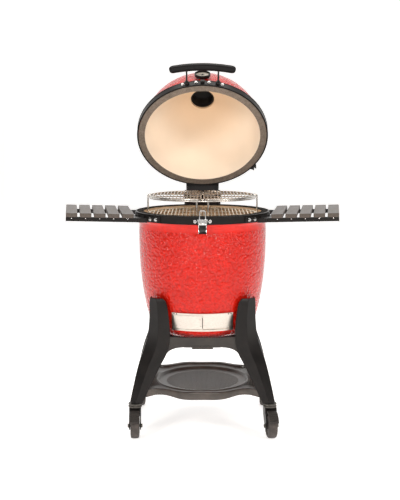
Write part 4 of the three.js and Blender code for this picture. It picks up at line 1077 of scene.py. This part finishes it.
def build_handle(context, c, f):
    reach = band_radius(c) + f.handle_reach
    half = f.handle_length / 2
    radius = f.handle_depth / 2
    bm = bmesh.new()
    path, scales = [], []
    for i in range(41):
        x = -half + 2 * half * i / 40
        path.append((x, -reach + f.handle_bow * (x / half) ** 2, f.handle_rise))
    ends = 2.5
    for i in range(41):
        near = min(i, 40 - i)
        scales.append(math.sin(math.pi / 2 * min(1.0, (near + 0.5) / ends)) ** 0.45)
    section = [(0.98 * radius * math.copysign(abs(math.cos(a)) ** 0.8, math.cos(a)),
                0.98 * radius * math.copysign(abs(math.sin(a)) ** 0.8, math.sin(a)))
               for a in (2 * math.pi * i / 32 for i in range(32))]
    sweep(bm, path, section, 0, scales=scales)
    band_middle = c.band_offset + c.band_height / 2
    for side in (-1, 1):
        x = side * f.post_spacing / 2
        foot = math.sqrt(band_radius(c) ** 2 - x ** 2)
        grip = (x, -reach + f.handle_bow * (x / half) ** 2 + 0.5 * radius, f.handle_rise - 0.35 * radius)
        wire(bm, [(x, -foot - 3, band_middle), grip], 3.6, 20, 2)
        revolve(bm, [(0, 0), (10.5, 0), (10.5, 3), (8, 5.5), (8, 9), (0, 9)], 2, 32,
                Matrix.Translation((x, -foot - 1.5, band_middle)) @ Matrix.Rotation(math.radians(90), 4, "X"))
    finishes = [finish_of(context, name) for name in ("grip", "chrome", "coat")]
    make("lid_grip", bm, LID_PLACE, "lid", ["lid_handle"], finishes)
    bm = bmesh.new()
    for x in (-80, -26, 26, 80):
        foot = math.sqrt(band_radius(c) ** 2 - x ** 2)
        hex_bolt(bm, (x, -foot + 1, band_middle), (x, -foot, 0), 4.6, 5)
    make("lid_band_bolts", bm, LID_PLACE, "lid", (), [finish_of(context, "chrome")], 0.4)


def build_vent(context, c):
    seat = vent_seat_height(c) + 0.3
    neck, wall = 47, 4
    outer = neck + wall
    flange = c.vent_seat_radius - 8
    bm = bmesh.new()
    ring_of(bm, [
        (neck, seat - 14), (outer, seat - 14), (outer, seat), (flange, seat), (flange + 0.5, seat + 2),
        (flange - 1, seat + 5), (flange - 4, seat + 6), (outer + 2, seat + 6), (outer, seat + 8),
        (outer, seat + 40), (neck, seat + 40),
    ], segments=96)
    base = make("vent_neck", bm, LID_PLACE, "lid", ["vent_base"], [finish_of(context, "vent")])
    hole = bmesh.new()
    slab(hole, (188, 47, 18), (0, 0, seat + 22))
    carve(base, hole, LID_PLACE)
    bm = bmesh.new()
    for i in range(6):
        a = 2 * math.pi * (i + 0.5) / 6
        hex_bolt(bm, (66 * math.cos(a), 66 * math.sin(a), seat + 5.5), (0, 0, 1), 4, 4)
    make("vent_bolts", bm, LID_PLACE, "lid", (), [finish_of(context, "zinc")], 0.3)
    inner = outer + 0.6
    edge = inner + wall
    top = seat + 40.3
    bm = bmesh.new()
    revolve(bm, [
        (0, top), (inner, top), (inner, seat + 7), (edge, seat + 7), (edge, top), (edge - 1, top + 4),
        (edge - 6, top + 8), (edge - 16, top + 11), (22, top + 14), (15, top + 15.5), (13, top + 18),
        (13.5, top + 23), (11, top + 26.5), (6, top + 28), (0, top + 28),
    ], 0, 96)
    for i in range(12):
        turn = Matrix.Rotation(2 * math.pi * i / 12, 4, "Z")
        slab(bm, (20, 3, 5), (33, 0, top + 11), turn)
    cap = make("vent_lid", bm, LID_PLACE, "vent_cap", ["vent_cap"], [finish_of(context, "vent")],
               0.5)
    hole = bmesh.new()
    slab(hole, (47, 188, 18), (0, 0, seat + 22))
    carve(cap, hole, LID_PLACE)


def build_thermometer(context, c):
    place = LID_PLACE @ scaled_place(dial_place(c))
    radius, depth = 33, 18
    bm = bmesh.new()
    revolve(bm, [
        (0, 3), (radius - 4, 3), (radius - 1, 6), (radius, 9), (radius, depth - 2), (radius - 1, depth),
        (radius - 3, depth), (radius - 3.6, depth - 1), (radius - 3.6, depth - 7),
    ], 0, 72)
    revolve(bm, [(radius - 3.6, depth - 7), (0, depth - 7)], 1, 72)
    for i in range(28):
        a = math.radians(-135 + 10 * i)
        long_tick = 5 if i % 3 == 0 else 3
        turn = Matrix.Rotation(a, 4, "Z")
        slab(bm, (0.7, long_tick, 0.4), (0, 26 - long_tick / 2, depth - 6.9), turn, 2)
    rod(bm, (0, 0, 4), (0, 0, -60), 3.5, 16)
    finishes = [finish_of(context, name) for name in ("coat", "dial", "grip")]
    make("thermometer_case", bm, place, "lid", ["thermometer_body"], finishes)
    bm = bmesh.new()
    revolve(bm, [(0, depth - 6), (4, depth - 6), (4, depth - 4), (3, depth - 3.2), (0, depth - 3)], 0, 32)
    prism(bm, [(-1.6, 8), (1.6, 8), (0.4, -19), (-0.4, -19)], depth - 5.4, depth - 4.6,
          Matrix.Rotation(math.pi, 4, "Z"))
    make("thermometer_pointer", bm, place, "thermometer_needle", ["thermometer_needle"],
         [finish_of(context, "coat")])


def scaled_place(place):
    """A place given in millimetres, in metres."""
    moved = place.copy()
    moved.translation = place.translation * MM
    return moved


class GRILL_OT_lid(bpy.types.Operator):
    """Builds the lid with its seal, band, handle, top vent and thermometer"""
    bl_idname = "grill.lid"
    bl_label = "Lid"

    def execute(self, context):
        c = in_mm(context.scene.grill_ceramic)
        f = in_mm(context.scene.grill_fittings)
        build_dome(context, c)
        bm = bmesh.new()
        gasket_ring(bm, c, 1)
        make("lid_seal", bm, LID_PLACE, "lid", ["lid_gasket"], [finish_of(context, "seal")])
        build_lid_band(context, c)
        build_handle(context, c, f)
        build_vent(context, c)
        build_thermometer(context, c)
        return {"FINISHED"}


# ---- Rear hinge and front latch ---------------------------------------------------------------------

def upright(outline, thickness, x):
    """The corners of an upright cheek: [y, z] points with a thickness along X."""
    return [[Vector((x + side * thickness / 2, y, z)) for y, z in outline] for side in (-1, 1)]


class GRILL_OT_hinge(bpy.types.Operator):
    """Builds the rear hinge: two brackets, the pin and a pair of torsion springs"""
    bl_idname = "grill.hinge"
    bl_label = "Rear Hinge"

    def execute(self, context):
        c = in_mm(context.scene.grill_ceramic)
        coat = [finish_of(context, "coat")]
        outer = band_radius(c)
        pin_y = HINGE_REACH
        rise = HINGE_RISE
        foot = outer - 6
        low, high = -c.band_offset - c.band_height, -c.band_offset
        bm = bmesh.new()
        lower = [(foot, low), (pin_y - 20, low + 6), (pin_y + 6, rise - 22), (pin_y + 20, rise - 8),
                 (pin_y + 20, rise + 6), (pin_y + 12, rise + 16), (pin_y - 12, rise + 16),
                 (foot + 26, high + 4), (foot, high)]
        for hand in (-1, 1):
            loft(bm, upright(lower, 6, hand * 77))
        slab(bm, (160, 9, c.band_height), (0, outer + 5, (low + high) / 2))
        slab(bm, (150, 6, 24), (0, outer + 19, low + 16))
        slab(bm, (158, 3, 66), (0, pin_y + 17.5, rise - 18))
        slab(bm, (150, 24, 5), (0, outer + 10, low + 5))
        make("hinge_lower", bm, BOWL_PLACE, "grill_base", ["hinge_lower_bracket"], coat,
             1.0)
        bm = bmesh.new()
        low, high = c.band_offset, c.band_offset + c.band_height
        upper = [(foot, low), (foot + 16, low), (pin_y, rise - 16), (pin_y + 11, rise - 12),
                 (pin_y + 14, rise - 4), (pin_y + 14, rise + 6), (pin_y + 8, rise + 14), (pin_y, rise + 16),
                 (foot + 6, high + 14), (foot, high)]
        for hand in (-1, 1):
            loft(bm, upright(upper, 6, hand * 69))
        slab(bm, (144, 9, c.band_height), (0, outer + 5, (low + high) / 2))
        web = [(foot + 6, high - 6), (pin_y - 18, rise - 8), (pin_y - 18, rise - 3), (foot + 6, high)]
        loft(bm, upright(web, 140, 0))
        make("hinge_upper", bm, LID_PLACE, "lid", ["hinge_upper_bracket"], coat, 1.0)
        pin_place = BOWL_PLACE @ Matrix.Translation(Vector((0, pin_y, rise)) * MM)
        bm = bmesh.new()
        wire(bm, [(-84, 0, 0), (84, 0, 0)], 6, 24)
        for hand in (-1, 1):
            hex_bolt(bm, (hand * 80.3, 0, 0), (hand, 0, 0), 8, 6)
        make("hinge_pin_steel", bm, pin_place, "grill_base", ["hinge_pin"], [finish_of(context, "zinc")],
             0.4)
        bm = bmesh.new()
        for hand in (-1, 1):
            turns, per_turn, coil_radius, first, span = 9, 20, 11.2, 6, 54
            coil = [
                (hand * (first + span * i / (turns * per_turn)),
                 coil_radius * math.sin(2 * math.pi * i / per_turn),
                 coil_radius * math.cos(2 * math.pi * i / per_turn))
                for i in range(turns * per_turn + 1)
            ]
            tail_in = (hand * first, -12.3, coil_radius)
            tail_out = (hand * (first + span), 12.3, coil_radius)
            wire(bm, [tail_in, *coil, tail_out], 2.5, 10)
        make("hinge_coils", bm, pin_place, "grill_base", ["hinge_spring"], [finish_of(context, "spring")])
        return {"FINISHED"}


class GRILL_OT_latch(bpy.types.Operator):
    """Builds the front latch: base plate, over-centre lever and wire loop"""
    bl_idname = "grill.latch"
    bl_label = "Front Latch"

    def execute(self, context):
        c = in_mm(context.scene.grill_ceramic)
        face = -band_radius(c) - 0.3
        band_middle = -c.band_offset - c.band_height / 2
        chrome = finish_of(context, "chrome")
        bm = bmesh.new()
        columns = []
        for x in steps_between(-39, 39, 16):
            y = -math.sqrt((band_radius(c) + 0.3) ** 2 - x ** 2)
            columns.append([Vector((x, y - t, band_middle + z))
                            for t, z in ((0, -10), (3, -10), (3, 10), (0, 10))])
        loft(bm, columns)
        slab(bm, (40, 8, 18), (0, face - 3, band_middle), Matrix.Identity(4), 1)
        for side in (-1, 1):
            slab(bm, (3, 12, 16), (side * 18.1, face - 11, band_middle - 6))
            hex_bolt(bm, (side * 29, face - 1.5, band_middle), (side * 0.1, -1, 0), 5, 6, 1)
        finishes = [finish_of(context, "coat"), chrome]
        make("latch_plate", bm, BOWL_PLACE, "grill_base", ["latch_base"], finishes, 0.6)
        pivot_y, pivot_z = face - 14, band_middle - 10
        bm = bmesh.new()
        wire(bm, [(-15.5, pivot_y, pivot_z), (15.5, pivot_y, pivot_z)], 3.4, 16, 1)
        tab = smooth_line([(-3, 0), (-14, 0.6), (-26, -0.8), (-36, -4.5)], 5)
        rings = [
            [Vector((x, pivot_y + y - t, pivot_z + z))
             for x, t in ((-15.5, 0), (15.5, 0), (15.5, 3), (-15.5, 3))]
            for z, y in tab
        ]
        loft(bm, rings)
        for side in (-1, 1):
            loft(bm, [[Vector((side * x, pivot_y + y - t, pivot_z + z))
                       for x, t in ((13.8, -1), (15.9, -1), (15.9, 4), (13.8, 4))]
                      for z, y in tab], 1)
        make("latch_tab", bm, BOWL_PLACE, "latch_lever", ["latch_lever"], finishes, 0.4)
        loop_y, loop_z = pivot_y - 5.5, pivot_z + 1
        corners = []
        bend, across, tall = 5, 6.5, 47
        for x, z, start in (
            (across, bend, -90), (across, tall, 0), (-across, tall, 90), (-across, bend, 180)
        ):
            corners += [(px, loop_y, loop_z + pz) for px, pz in arc(x, z, bend, bend, start, start + 90, 5)]
        bm = bmesh.new()
        wire(bm, corners, 1.6, 10, closed=True)
        make("latch_wire_loop", bm, BOWL_PLACE, "latch_loop", ["latch_loop"], [chrome])
        return {"FINISHED"}


# ---- Cart -----------------------------------------------------------------------------------------

# Height, distance to the side, distance to the front and wing width of the leg's corner
LEG_STATIONS = (
    (140, 289, 221, 51), (207, 275, 220, 68), (286, 256, 218, 87), (346, 236, 216, 97),
    (405, 219, 216, 90), (470, 212, 216, 80), (535, 211, 215, 70), (559, 208, 212, 52),
)


def leg_at(height):
    """Side, front and wing of a leg at a height."""
    for low, high in zip(LEG_STATIONS, LEG_STATIONS[1:]):
        if height <= high[0]:
            share = (height - low[0]) / (high[0] - low[0])
            return [low[i] + (high[i] - low[i]) * share for i in (1, 2, 3)]
    return LEG_STATIONS[-1][1:]


def build_leg(bm, sheet, x_sign, y_sign):
    """A folded channel whose two wings meet at a broad corner face, flaring at mid height."""
    rings = []
    for height, side, front, wing in smooth_line(LEG_STATIONS, 6):
        flat = 0.46 * wing
        skew = 0.41 * sheet
        section = [(wing, 0), (flat, 0), (0, flat), (0, wing), (sheet, wing), (sheet, flat + skew),
                   (flat + skew, sheet), (wing, sheet)]
        rings.append([Vector((x_sign * (side - u), y_sign * (front - v), height)) for u, v in section])
    loft(bm, rings)
    side, front, wing = leg_at(LEG_STATIONS[0][0])
    size = wing - 2
    foot = [(0, 0.42 * size), (0.42 * size, 0), (size, 0), (size, size), (0, size)]
    outline = [(x_sign * (side - 2 - u), y_sign * (front - 2 - v)) for u, v in foot]
    prism(bm, outline, 137, 145)


def arched_panel(c, bm):
    """The cross panel: a straight top edge, an arched lower edge and a small block at mid span."""
    half = 150
    inner = leg_at(c.panel_top)[0] - leg_at(c.panel_top)[2]
    bottom = c.panel_top - c.panel_depth
    lower = smooth_line([
        (half, bottom - 34), (inner + 4, bottom - 14), (inner - 22, bottom - 2), (inner - 55, bottom + 2),
        (60, bottom + 1), (-60, bottom + 1), (-inner + 55, bottom + 2), (-inner + 22, bottom - 2),
        (-inner - 4, bottom - 14), (-half, bottom - 34),
    ], 6)
    outline = [(-half, c.panel_top + 2), (-60, c.panel_top - 1), (60, c.panel_top - 1),
               (half, c.panel_top + 2), *lower]
    stand = Matrix.Rotation(math.radians(90), 4, "X")
    prism(bm, outline, -6, 0, stand)
    prism(bm, [(-42, bottom + 6), (42, bottom + 6), (42, bottom - 5), (-42, bottom - 5)], -4, 2.5, stand)


def outline_radius(outline, direction):
    """Distance from the middle to a closed outline in one direction."""
    ray = Vector(direction)
    for a, b in zip(outline, [*outline[1:], outline[0]]):
        a, b = Vector(a), Vector(b)
        edge = b - a
        cross = ray.x * edge.y - ray.y * edge.x
        if abs(cross) < 1e-9:
            continue
        reach = (a.x * edge.y - a.y * edge.x) / cross
        share = (a.x * ray.y - a.y * ray.x) / cross
        if reach > 0 and -1e-6 <= share <= 1 + 1e-6:
            return reach
    raise RuntimeError("the shelf's outline doesn't close")


def shelf_outline(c):
    """The bottom shelf's edge: cut off at the legs, bulging between them at front and back."""
    side, front, wing = leg_at(c.shelf_top)
    x = side - c.leg_sheet - 4
    y = front - c.leg_sheet - 4
    corner = 0.46 * wing + 16
    bulge = c.shelf_bulge
    curve = smooth_line([
        (-0.72 * x, -0.9 * y), (-0.56 * x, -(0.1 * bulge + 0.84 * y)), (-0.3 * x, -(0.92 * bulge + 0.08 * y)),
        (0, -bulge), (0.3 * x, -(0.92 * bulge + 0.08 * y)), (0.56 * x, -(0.1 * bulge + 0.84 * y)),
        (0.72 * x, -0.9 * y),
    ], 8)
    front_edge = [(-x, -y + corner), (-x + corner, -y), *curve, (x - corner, -y), (x, -y + corner)]
    back_edge = [(-u, -v) for u, v in front_edge]
    return front_edge + back_edge


def build_bottom_shelf(context, c):
    outline = shelf_outline(c)
    spokes = 360
    directions = [(math.sin(2 * math.pi * i / spokes), -math.cos(2 * math.pi * i / spokes))
                  for i in range(spokes)]
    edge = [outline_radius(outline, d) for d in directions]
    top = c.shelf_top
    floor = top - 9
    dish = c.dish_radius
    sheet = 3.2

    def skirt(i):
        """The apron is deep at mid span and at the legs, and shallow between."""
        x = abs(edge[i] * directions[i][0])
        return top - 30 + 7.5 * math.exp(-((x - 150) / 55) ** 2)

    def ring(radius_of, height_of):
        return [Vector((radius_of(i) * directions[i][0], radius_of(i) * directions[i][1], height_of(i)))
                for i in range(spokes)]

    def outline_ring(inset, height):
        return ring(lambda i: edge[i] - inset, height if callable(height) else lambda i: height)

    def round_ring(radius, height):
        return ring(lambda i: radius, lambda i: height)

    upper = [
        round_ring(40, floor - 8), round_ring(dish - 18, floor - 8), round_ring(dish - 14, floor - 7),
        round_ring(dish - 8, floor + 1.5), round_ring(dish - 6, floor + 3),
        round_ring(dish - 2.5, floor + 3.4), round_ring(dish, floor + 2), round_ring(dish + 1, floor),
        outline_ring(c.shelf_border + 3, floor), outline_ring(c.shelf_border, floor + 2),
        outline_ring(c.shelf_border - 3, top - 1), outline_ring(c.shelf_border - 5, top),
        outline_ring(4, top), outline_ring(1.2, top - 1.4), outline_ring(0, top - 5), outline_ring(0, skirt),
    ]
    under = [
        outline_ring(sheet, skirt), outline_ring(sheet, top - 7), outline_ring(4 + sheet, top - sheet),
        outline_ring(c.shelf_border - 5, top - sheet), outline_ring(c.shelf_border + 3, floor - sheet),
        round_ring(dish - 3, floor - sheet), round_ring(dish - 16, floor - 8 - sheet),
        round_ring(40, floor - 8 - sheet),
    ]
    bm = bmesh.new()
    loft(bm, upper + under)
    # Painted reflection: the shelf takes the lightened coat.
    finishes = [finish_of(context, "shelf coat with painted reflection")]
    shelf = make("lower_shelf", bm, FLOOR_PLACE, "grill_base", ["bottom_shelf"], finishes)
    holes = bmesh.new()
    across, along, reach = 10.5, 17, 148
    half_wide, half_long = 3.7, 6.2
    for row in range(-18, 19):
        for column in range(-30, 31):
            if (row + column) % 2:
                continue
            x, y = column * across / 2, row * along / 2
            if math.hypot(x, y) > reach:
                continue
            diamond = [(x - half_wide, y), (x, y - half_long), (x + half_wide, y), (x, y + half_long)]
            prism(holes, diamond, floor - 20, floor + 2)
    carve(shelf, holes, FLOOR_PLACE)


class GRILL_OT_cart(bpy.types.Operator):
    """Builds the cart: four folded legs, two cross panels and the bottom shelf"""
    bl_idname = "grill.cart"
    bl_label = "Cart"

    def execute(self, context):
        c = in_mm(context.scene.grill_cart)
        coat = [finish_of(context, "coat")]
        # The cross panels take the lightened coat: painted light.
        panel_coat = [finish_of(context, "tray coat with painted light")]
        for depth_word, y_sign in (("front", -1), ("rear", 1)):
            for side_word, x_sign in SIDES.items():
                bm = bmesh.new()
                build_leg(bm, c.leg_sheet, x_sign, y_sign)
                make(f"cart_leg_{depth_word}_{side_word}", bm, FLOOR_PLACE, "grill_base",
                     [f"leg_{depth_word}_{side_word}"], coat, 3.4, 3)
            node = f"{depth_word}_panel"
            low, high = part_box(node)
            face = low.y if y_sign < 0 else high.y
            bm = bmesh.new()
            arched_panel(c, bm)
            turn = Matrix.Identity(4) if y_sign < 0 else Matrix.Rotation(math.pi, 4, "Z")
            place = Matrix.Translation((0, face, 0)) @ turn
            make(f"cross_panel_{depth_word}", bm, place, "grill_base", [node], panel_coat,
                 1.2)
        build_bottom_shelf(context, c)
        dress(context, "saddle_frame", "coat")
        return {"FINISHED"}


# ---- Casters ----------------------------------------------------------------------------------------

def build_fork(bm, c, braked):
    inside = c.wheel_width / 2 + 2.5
    trail = -c.caster_trail
    sheet = 4
    top = 119
    side = [(-20, top), (20, top), (19, 104), (14, 80), (trail + 16, 44), (trail + 10, 36), (trail, 33),
            (trail - 9, 35), (trail - 14, 42), (trail - 14, 60), (-31, 90), (-24, 100)]
    for hand in (-1, 1):
        loft(bm, upright(side, sheet, hand * (inside + sheet / 2)))
    slab(bm, (2 * (inside + sheet), 40, 5), (0, 0, top - 2.5))
    slab(bm, (2 * inside + 2, 34, 20), (0, 1, top - 14))
    revolve(bm, [(0, 118), (25, 118), (27, 120), (27, 124), (24, 127), (24, 130), (27, 131.5), (27, 134),
                 (0, 134)], 1, 48)
    rod(bm, (0, 0, 134), (0, 0, 152), 6, 20, 1)
    nut = inside + sheet
    wire(bm, [(-nut, trail, c.wheel_radius), (nut, trail, c.wheel_radius)], 5, 16, 1)
    for hand in (-1, 1):
        hex_bolt(bm, (hand * nut, trail, c.wheel_radius), (hand, 0, 0), 7.5, 6, 1)
    if braked:
        slab(bm, (2 * inside + 2, 8, 14), (0, -30, 96))


def build_wheel(bm, c):
    """A solid tread on a dished core, with a groove where they meet."""
    radius, half = c.wheel_radius, c.wheel_width / 2
    profile = [
        (5.6, -half), (12, -half), (13, -half + 1.5), (15, -half + 4), (30, -half + 4), (33, -half + 1.2),
        (34.5, -half + 1.2), (35.5, -half), (radius - 6, -half), (radius - 2.2, -half + 2.2),
        (radius - 0.4, -half + 7), (radius, 0),
    ]
    mirrored = [(r, -z) for r, z in reversed(profile[:-1])]
    ring_of(bm, [*profile, *mirrored], 0, 72, Matrix.Rotation(math.radians(90), 4, "Y"))


class GRILL_OT_casters(bpy.types.Operator):
    """Builds the four casters, the front two with brake pedals"""
    bl_idname = "grill.casters"
    bl_label = "Casters"

    def execute(self, context):
        c = in_mm(context.scene.grill_cart)
        finishes = [finish_of(context, "coat"), finish_of(context, "zinc")]
        for depth_word in ("front", "rear"):
            for side_word in SIDES:
                word = f"{depth_word}_{side_word}"
                place = caster_place(word)
                bm = bmesh.new()
                build_fork(bm, c, depth_word == "front")
                make(f"fork_{word}", bm, place, f"swivel_{word}", [f"caster_fork_{word}"], finishes,
                     0.9)
                bm = bmesh.new()
                build_wheel(bm, c)
                axle = place @ Matrix.Translation(Vector((0, -c.caster_trail, c.wheel_radius)) * MM)
                make(f"tread_{word}", bm, axle, f"wheel_{word}", [f"caster_wheel_{word}"],
                     [finish_of(context, "tyre")])
                if depth_word == "front":
                    self.build_pedal(context, c, word, place)
        return {"FINISHED"}

    def build_pedal(self, context, c, word, place):
        """A bent foot plate with ribs across its tip."""
        half = (c.wheel_width + 3) / 2
        bm = bmesh.new()
        centre = smooth_line([(-31, 108), (-46, 107.5), (-60, 103), (-72, 94), (-82, 82), (-85, 77)], 5)
        loft(bm, [[Vector((x, y, z + t)) for x, t in ((-half, -2), (half, -2), (half, 3), (-half, 3))]
                  for y, z in centre])
        for i in range(5):
            y, z = centre[-4 - 3 * i]
            wire(bm, [(-half + 2, y - 1.2, z + 3), (half - 2, y - 1.2, z + 3)], 1.5, 8)
        make(f"pedal_{word}", bm, place, f"brake_{word}", [f"brake_pedal_{word}"],
             [finish_of(context, "pedal")], 0.7)


# ---- Side shelves ------------------------------------------------------------------------------------

class GRILL_OT_side_shelves(bpy.types.Operator):
    """Builds both side shelves: boards, arms and the straps that carry them"""
    bl_idname = "grill.side_shelves"
    bl_label = "Side Shelves"

    def execute(self, context):
        c = in_mm(context.scene.grill_cart)
        for word, side in SIDES.items():
            place = shelf_place(word)
            for i in range(c.slat_count):
                self.build_board(context, c, word, side, place, i)
            self.build_arms(context, c, word, side, place)
            dress(context, f"shelf_bracket_{word}", "coat")
        return {"FINISHED"}

    def build_board(self, context, c, word, side, place, i):
        """A board with rounded edges, drawn from its own middle so that its grain runs along it."""
        bm = bmesh.new()
        slab(bm, (c.slat_width, c.slat_length, c.slat_thickness), (0, 0, 0))
        x = side * (i * c.slat_pitch + c.slat_width / 2)
        at = place @ Matrix.Translation(Vector((x, c.slat_length / 2, -c.slat_thickness / 2)) * MM)
        make(f"board_{word}_{i + 1}", bm, at, f"shelf_{word}", [f"slat_{word}_{i + 1}"],
             [finish_of(context, "board")], 1.8, 3, keep_turn=True)

    def build_arms(self, context, c, word, side, place):
        reach = (c.slat_count - 1) * c.slat_pitch + c.slat_width
        depth = ARM_DEPTH
        bm = bmesh.new()
        for y in (ARM_INSET, c.slat_length - ARM_INSET):
            slab(bm, (reach + PIN_INSET - 3, 14, 17), (side * (reach - PIN_INSET + 3) / 2, y, -depth))
            wire(bm, [(-side * PIN_INSET, y - 7, -depth), (-side * PIN_INSET, y + 7, -depth)], 8.5, 24)
            out = -1 if y < c.slat_length / 2 else 1
            for i in range(c.slat_count):
                x = side * (i * c.slat_pitch + c.slat_width / 2)
                dome_head(bm, (x, y, -depth - 8.5), (0, 0, -1), 3.6, 2, 1)
                dome_head(bm, (x, y + out * 7, -depth + 4), (0, out, 0), 2.6, 1.2, 1)
        slab(bm, (12, c.slat_length - 2 * ARM_INSET, 5),
             (-side * 8, c.slat_length / 2, -c.slat_thickness - 2.8))
        finishes = [finish_of(context, "coat"), finish_of(context, "chrome")]
        make(f"arms_{word}", bm, place, f"shelf_{word}", [f"shelf_arms_{word}"], finishes,
             0.8)


# ---- Stage ---------------------------------------------------------------------------------------------

class GRILL_OT_stage(bpy.types.Operator):
    """Builds the pale floor and backdrop, the soft lights and the camera"""
    bl_idname = "grill.stage"
    bl_label = "Stage"

    def execute(self, context):
        self.build_floor(context)
        self.light("left box", (-2.1, -3.1, 2.2), (0, 0, 0.7), 0.6, 1.1, 46)
        self.light("right box", (2.5, -2.3, 2.2), (0, 0, 0.7), 0.6, 1.1, 42)
        self.light("front box", (0.2, -4.6, 1.9), (0, 0.1, 1.1), 1.2, 0.7, 60)
        self.light("top box", (0, 0.3, 3.4), (0, 0, 0.9), 2.4, 2.0, 45)
        self.build_world(context)
        context.scene.view_settings.view_transform = "Standard"
        self.build_camera(context)
        return {"FINISHED"}

    def build_world(self, context):
        """A white room that darkens towards the front, so that black surfaces stay black."""
        world = bpy.data.worlds.new("white studio")
        world.use_nodes = True
        tree = world.node_tree
        tree.nodes.clear()
        direction = add(tree, "ShaderNodeTexCoord", {}).outputs["Generated"]
        split = add(tree, "ShaderNodeSeparateXYZ", {"Vector": direction}).outputs
        brightness = add(
            tree, "ShaderNodeMapRange",
            {"Value": split["Y"], "From Min": 0.0, "From Max": 0.6, "To Min": 0.13, "To Max": 0.95},
            interpolation_type="SMOOTHSTEP",
        ).outputs["Result"]
        sky = add(tree, "ShaderNodeBackground", {"Color": (1, 1, 1, 1), "Strength": brightness})
        add(tree, "ShaderNodeOutputWorld", {"Surface": sky.outputs["Background"]})
        context.scene.world = world

    def build_floor(self, context):
        """A floor that curves up into a backdrop well behind the grill."""
        bm = bmesh.new()
        profile = [(-9, 0), (5, 0), *[(5 + 3 * math.sin(a), 3 - 3 * math.cos(a))
                                      for a in (math.pi / 2 * i / 16 for i in range(1, 17))], (8, 9)]
        for (y0, z0), (y1, z1) in zip(profile, profile[1:]):
            bm.faces.new([bm.verts.new(p)
                          for p in ((-12, y0, z0), (12, y0, z0), (12, y1, z1), (-12, y1, z1))])
        bmesh.ops.remove_doubles(bm, verts=bm.verts, dist=1e-5)
        mesh = bpy.data.meshes.new("studio_floor")
        bm.to_mesh(mesh)
        bm.free()
        mesh.shade_smooth()
        mesh.materials.append(finish_of(context, "floor"))
        floor = bpy.data.objects.new("studio_floor", mesh)
        context.scene.collection.objects.link(floor)

    def light(self, name, place, target, width, height, power):
        data = bpy.data.lights.new(name, "AREA")
        data.shape = "RECTANGLE"
        data.size = width
        data.size_y = height
        data.energy = power
        data.color = (1.0, 0.965, 0.925)
        lamp = bpy.data.objects.new(name, data)
        lamp.location = place
        lamp.rotation_euler = (Vector(target) - Vector(place)).to_track_quat("-Z", "Y").to_euler()
        bpy.context.scene.collection.objects.link(lamp)

    def build_camera(self, context):
        data = bpy.data.cameras.new("camera")
        data.lens = 69.245
        data.shift_x = -0.005
        data.shift_y = -0.1165
        camera = bpy.data.objects.new("camera", data)
        camera.location = (0, RIM_CENTRE.y - 3.958, 1.2763)
        camera.rotation_euler = (math.radians(90 - 4.5), 0, 0)
        context.scene.collection.objects.link(camera)
        context.scene.camera = camera


OPERATORS = (
    GRILL_OT_body,
    GRILL_OT_grates,
    GRILL_OT_draft_door,
    GRILL_OT_lid,
    GRILL_OT_hinge,
    GRILL_OT_latch,
    GRILL_OT_cart,
    GRILL_OT_casters,
    GRILL_OT_side_shelves,
    GRILL_OT_stage,
)
GROUPS = {
    "grill_ceramic": CeramicSizes,
    "grill_fittings": FittingSizes,
    "grill_cart": CartSizes,
    "grill_colours": GrillColours,
}


class GRILL_PT_panel(bpy.types.Panel):
    """Lists the grill's sizes, colours and building steps"""
    bl_idname = "GRILL_PT_panel"
    bl_label = "Ceramic Cart Grill"
    bl_space_type = "VIEW_3D"
    bl_region_type = "UI"
    bl_category = "Grill"

    def draw(self, context):
        for holder, group in GROUPS.items():
            box = self.layout.box()
            for name in group.__annotations__:
                box.prop(getattr(context.scene, holder), name)
        for operator in OPERATORS:
            self.layout.operator(operator.bl_idname)


def register():
    for group in GROUPS.values():
        bpy.utils.register_class(group)
    for holder, group in GROUPS.items():
        setattr(bpy.types.Scene, holder, bpy.props.PointerProperty(type=group))
    for made in (*OPERATORS, GRILL_PT_panel):
        bpy.utils.register_class(made)


def unregister():
    for made in reversed((*OPERATORS, GRILL_PT_panel)):
        bpy.utils.unregister_class(made)
    for holder in GROUPS:
        delattr(bpy.types.Scene, holder)
    for group in reversed(GROUPS.values()):
        bpy.utils.unregister_class(group)


def main():
    """Builds the whole grill."""
    register()
    bpy.ops.grill.body()
    bpy.ops.grill.grates()
    bpy.ops.grill.draft_door()
    bpy.ops.grill.lid()
    bpy.ops.grill.hinge()
    bpy.ops.grill.latch()
    bpy.ops.grill.cart()
    bpy.ops.grill.casters()
    bpy.ops.grill.side_shelves()
    bpy.ops.grill.stage()


if __name__ == "__main__":
    main()
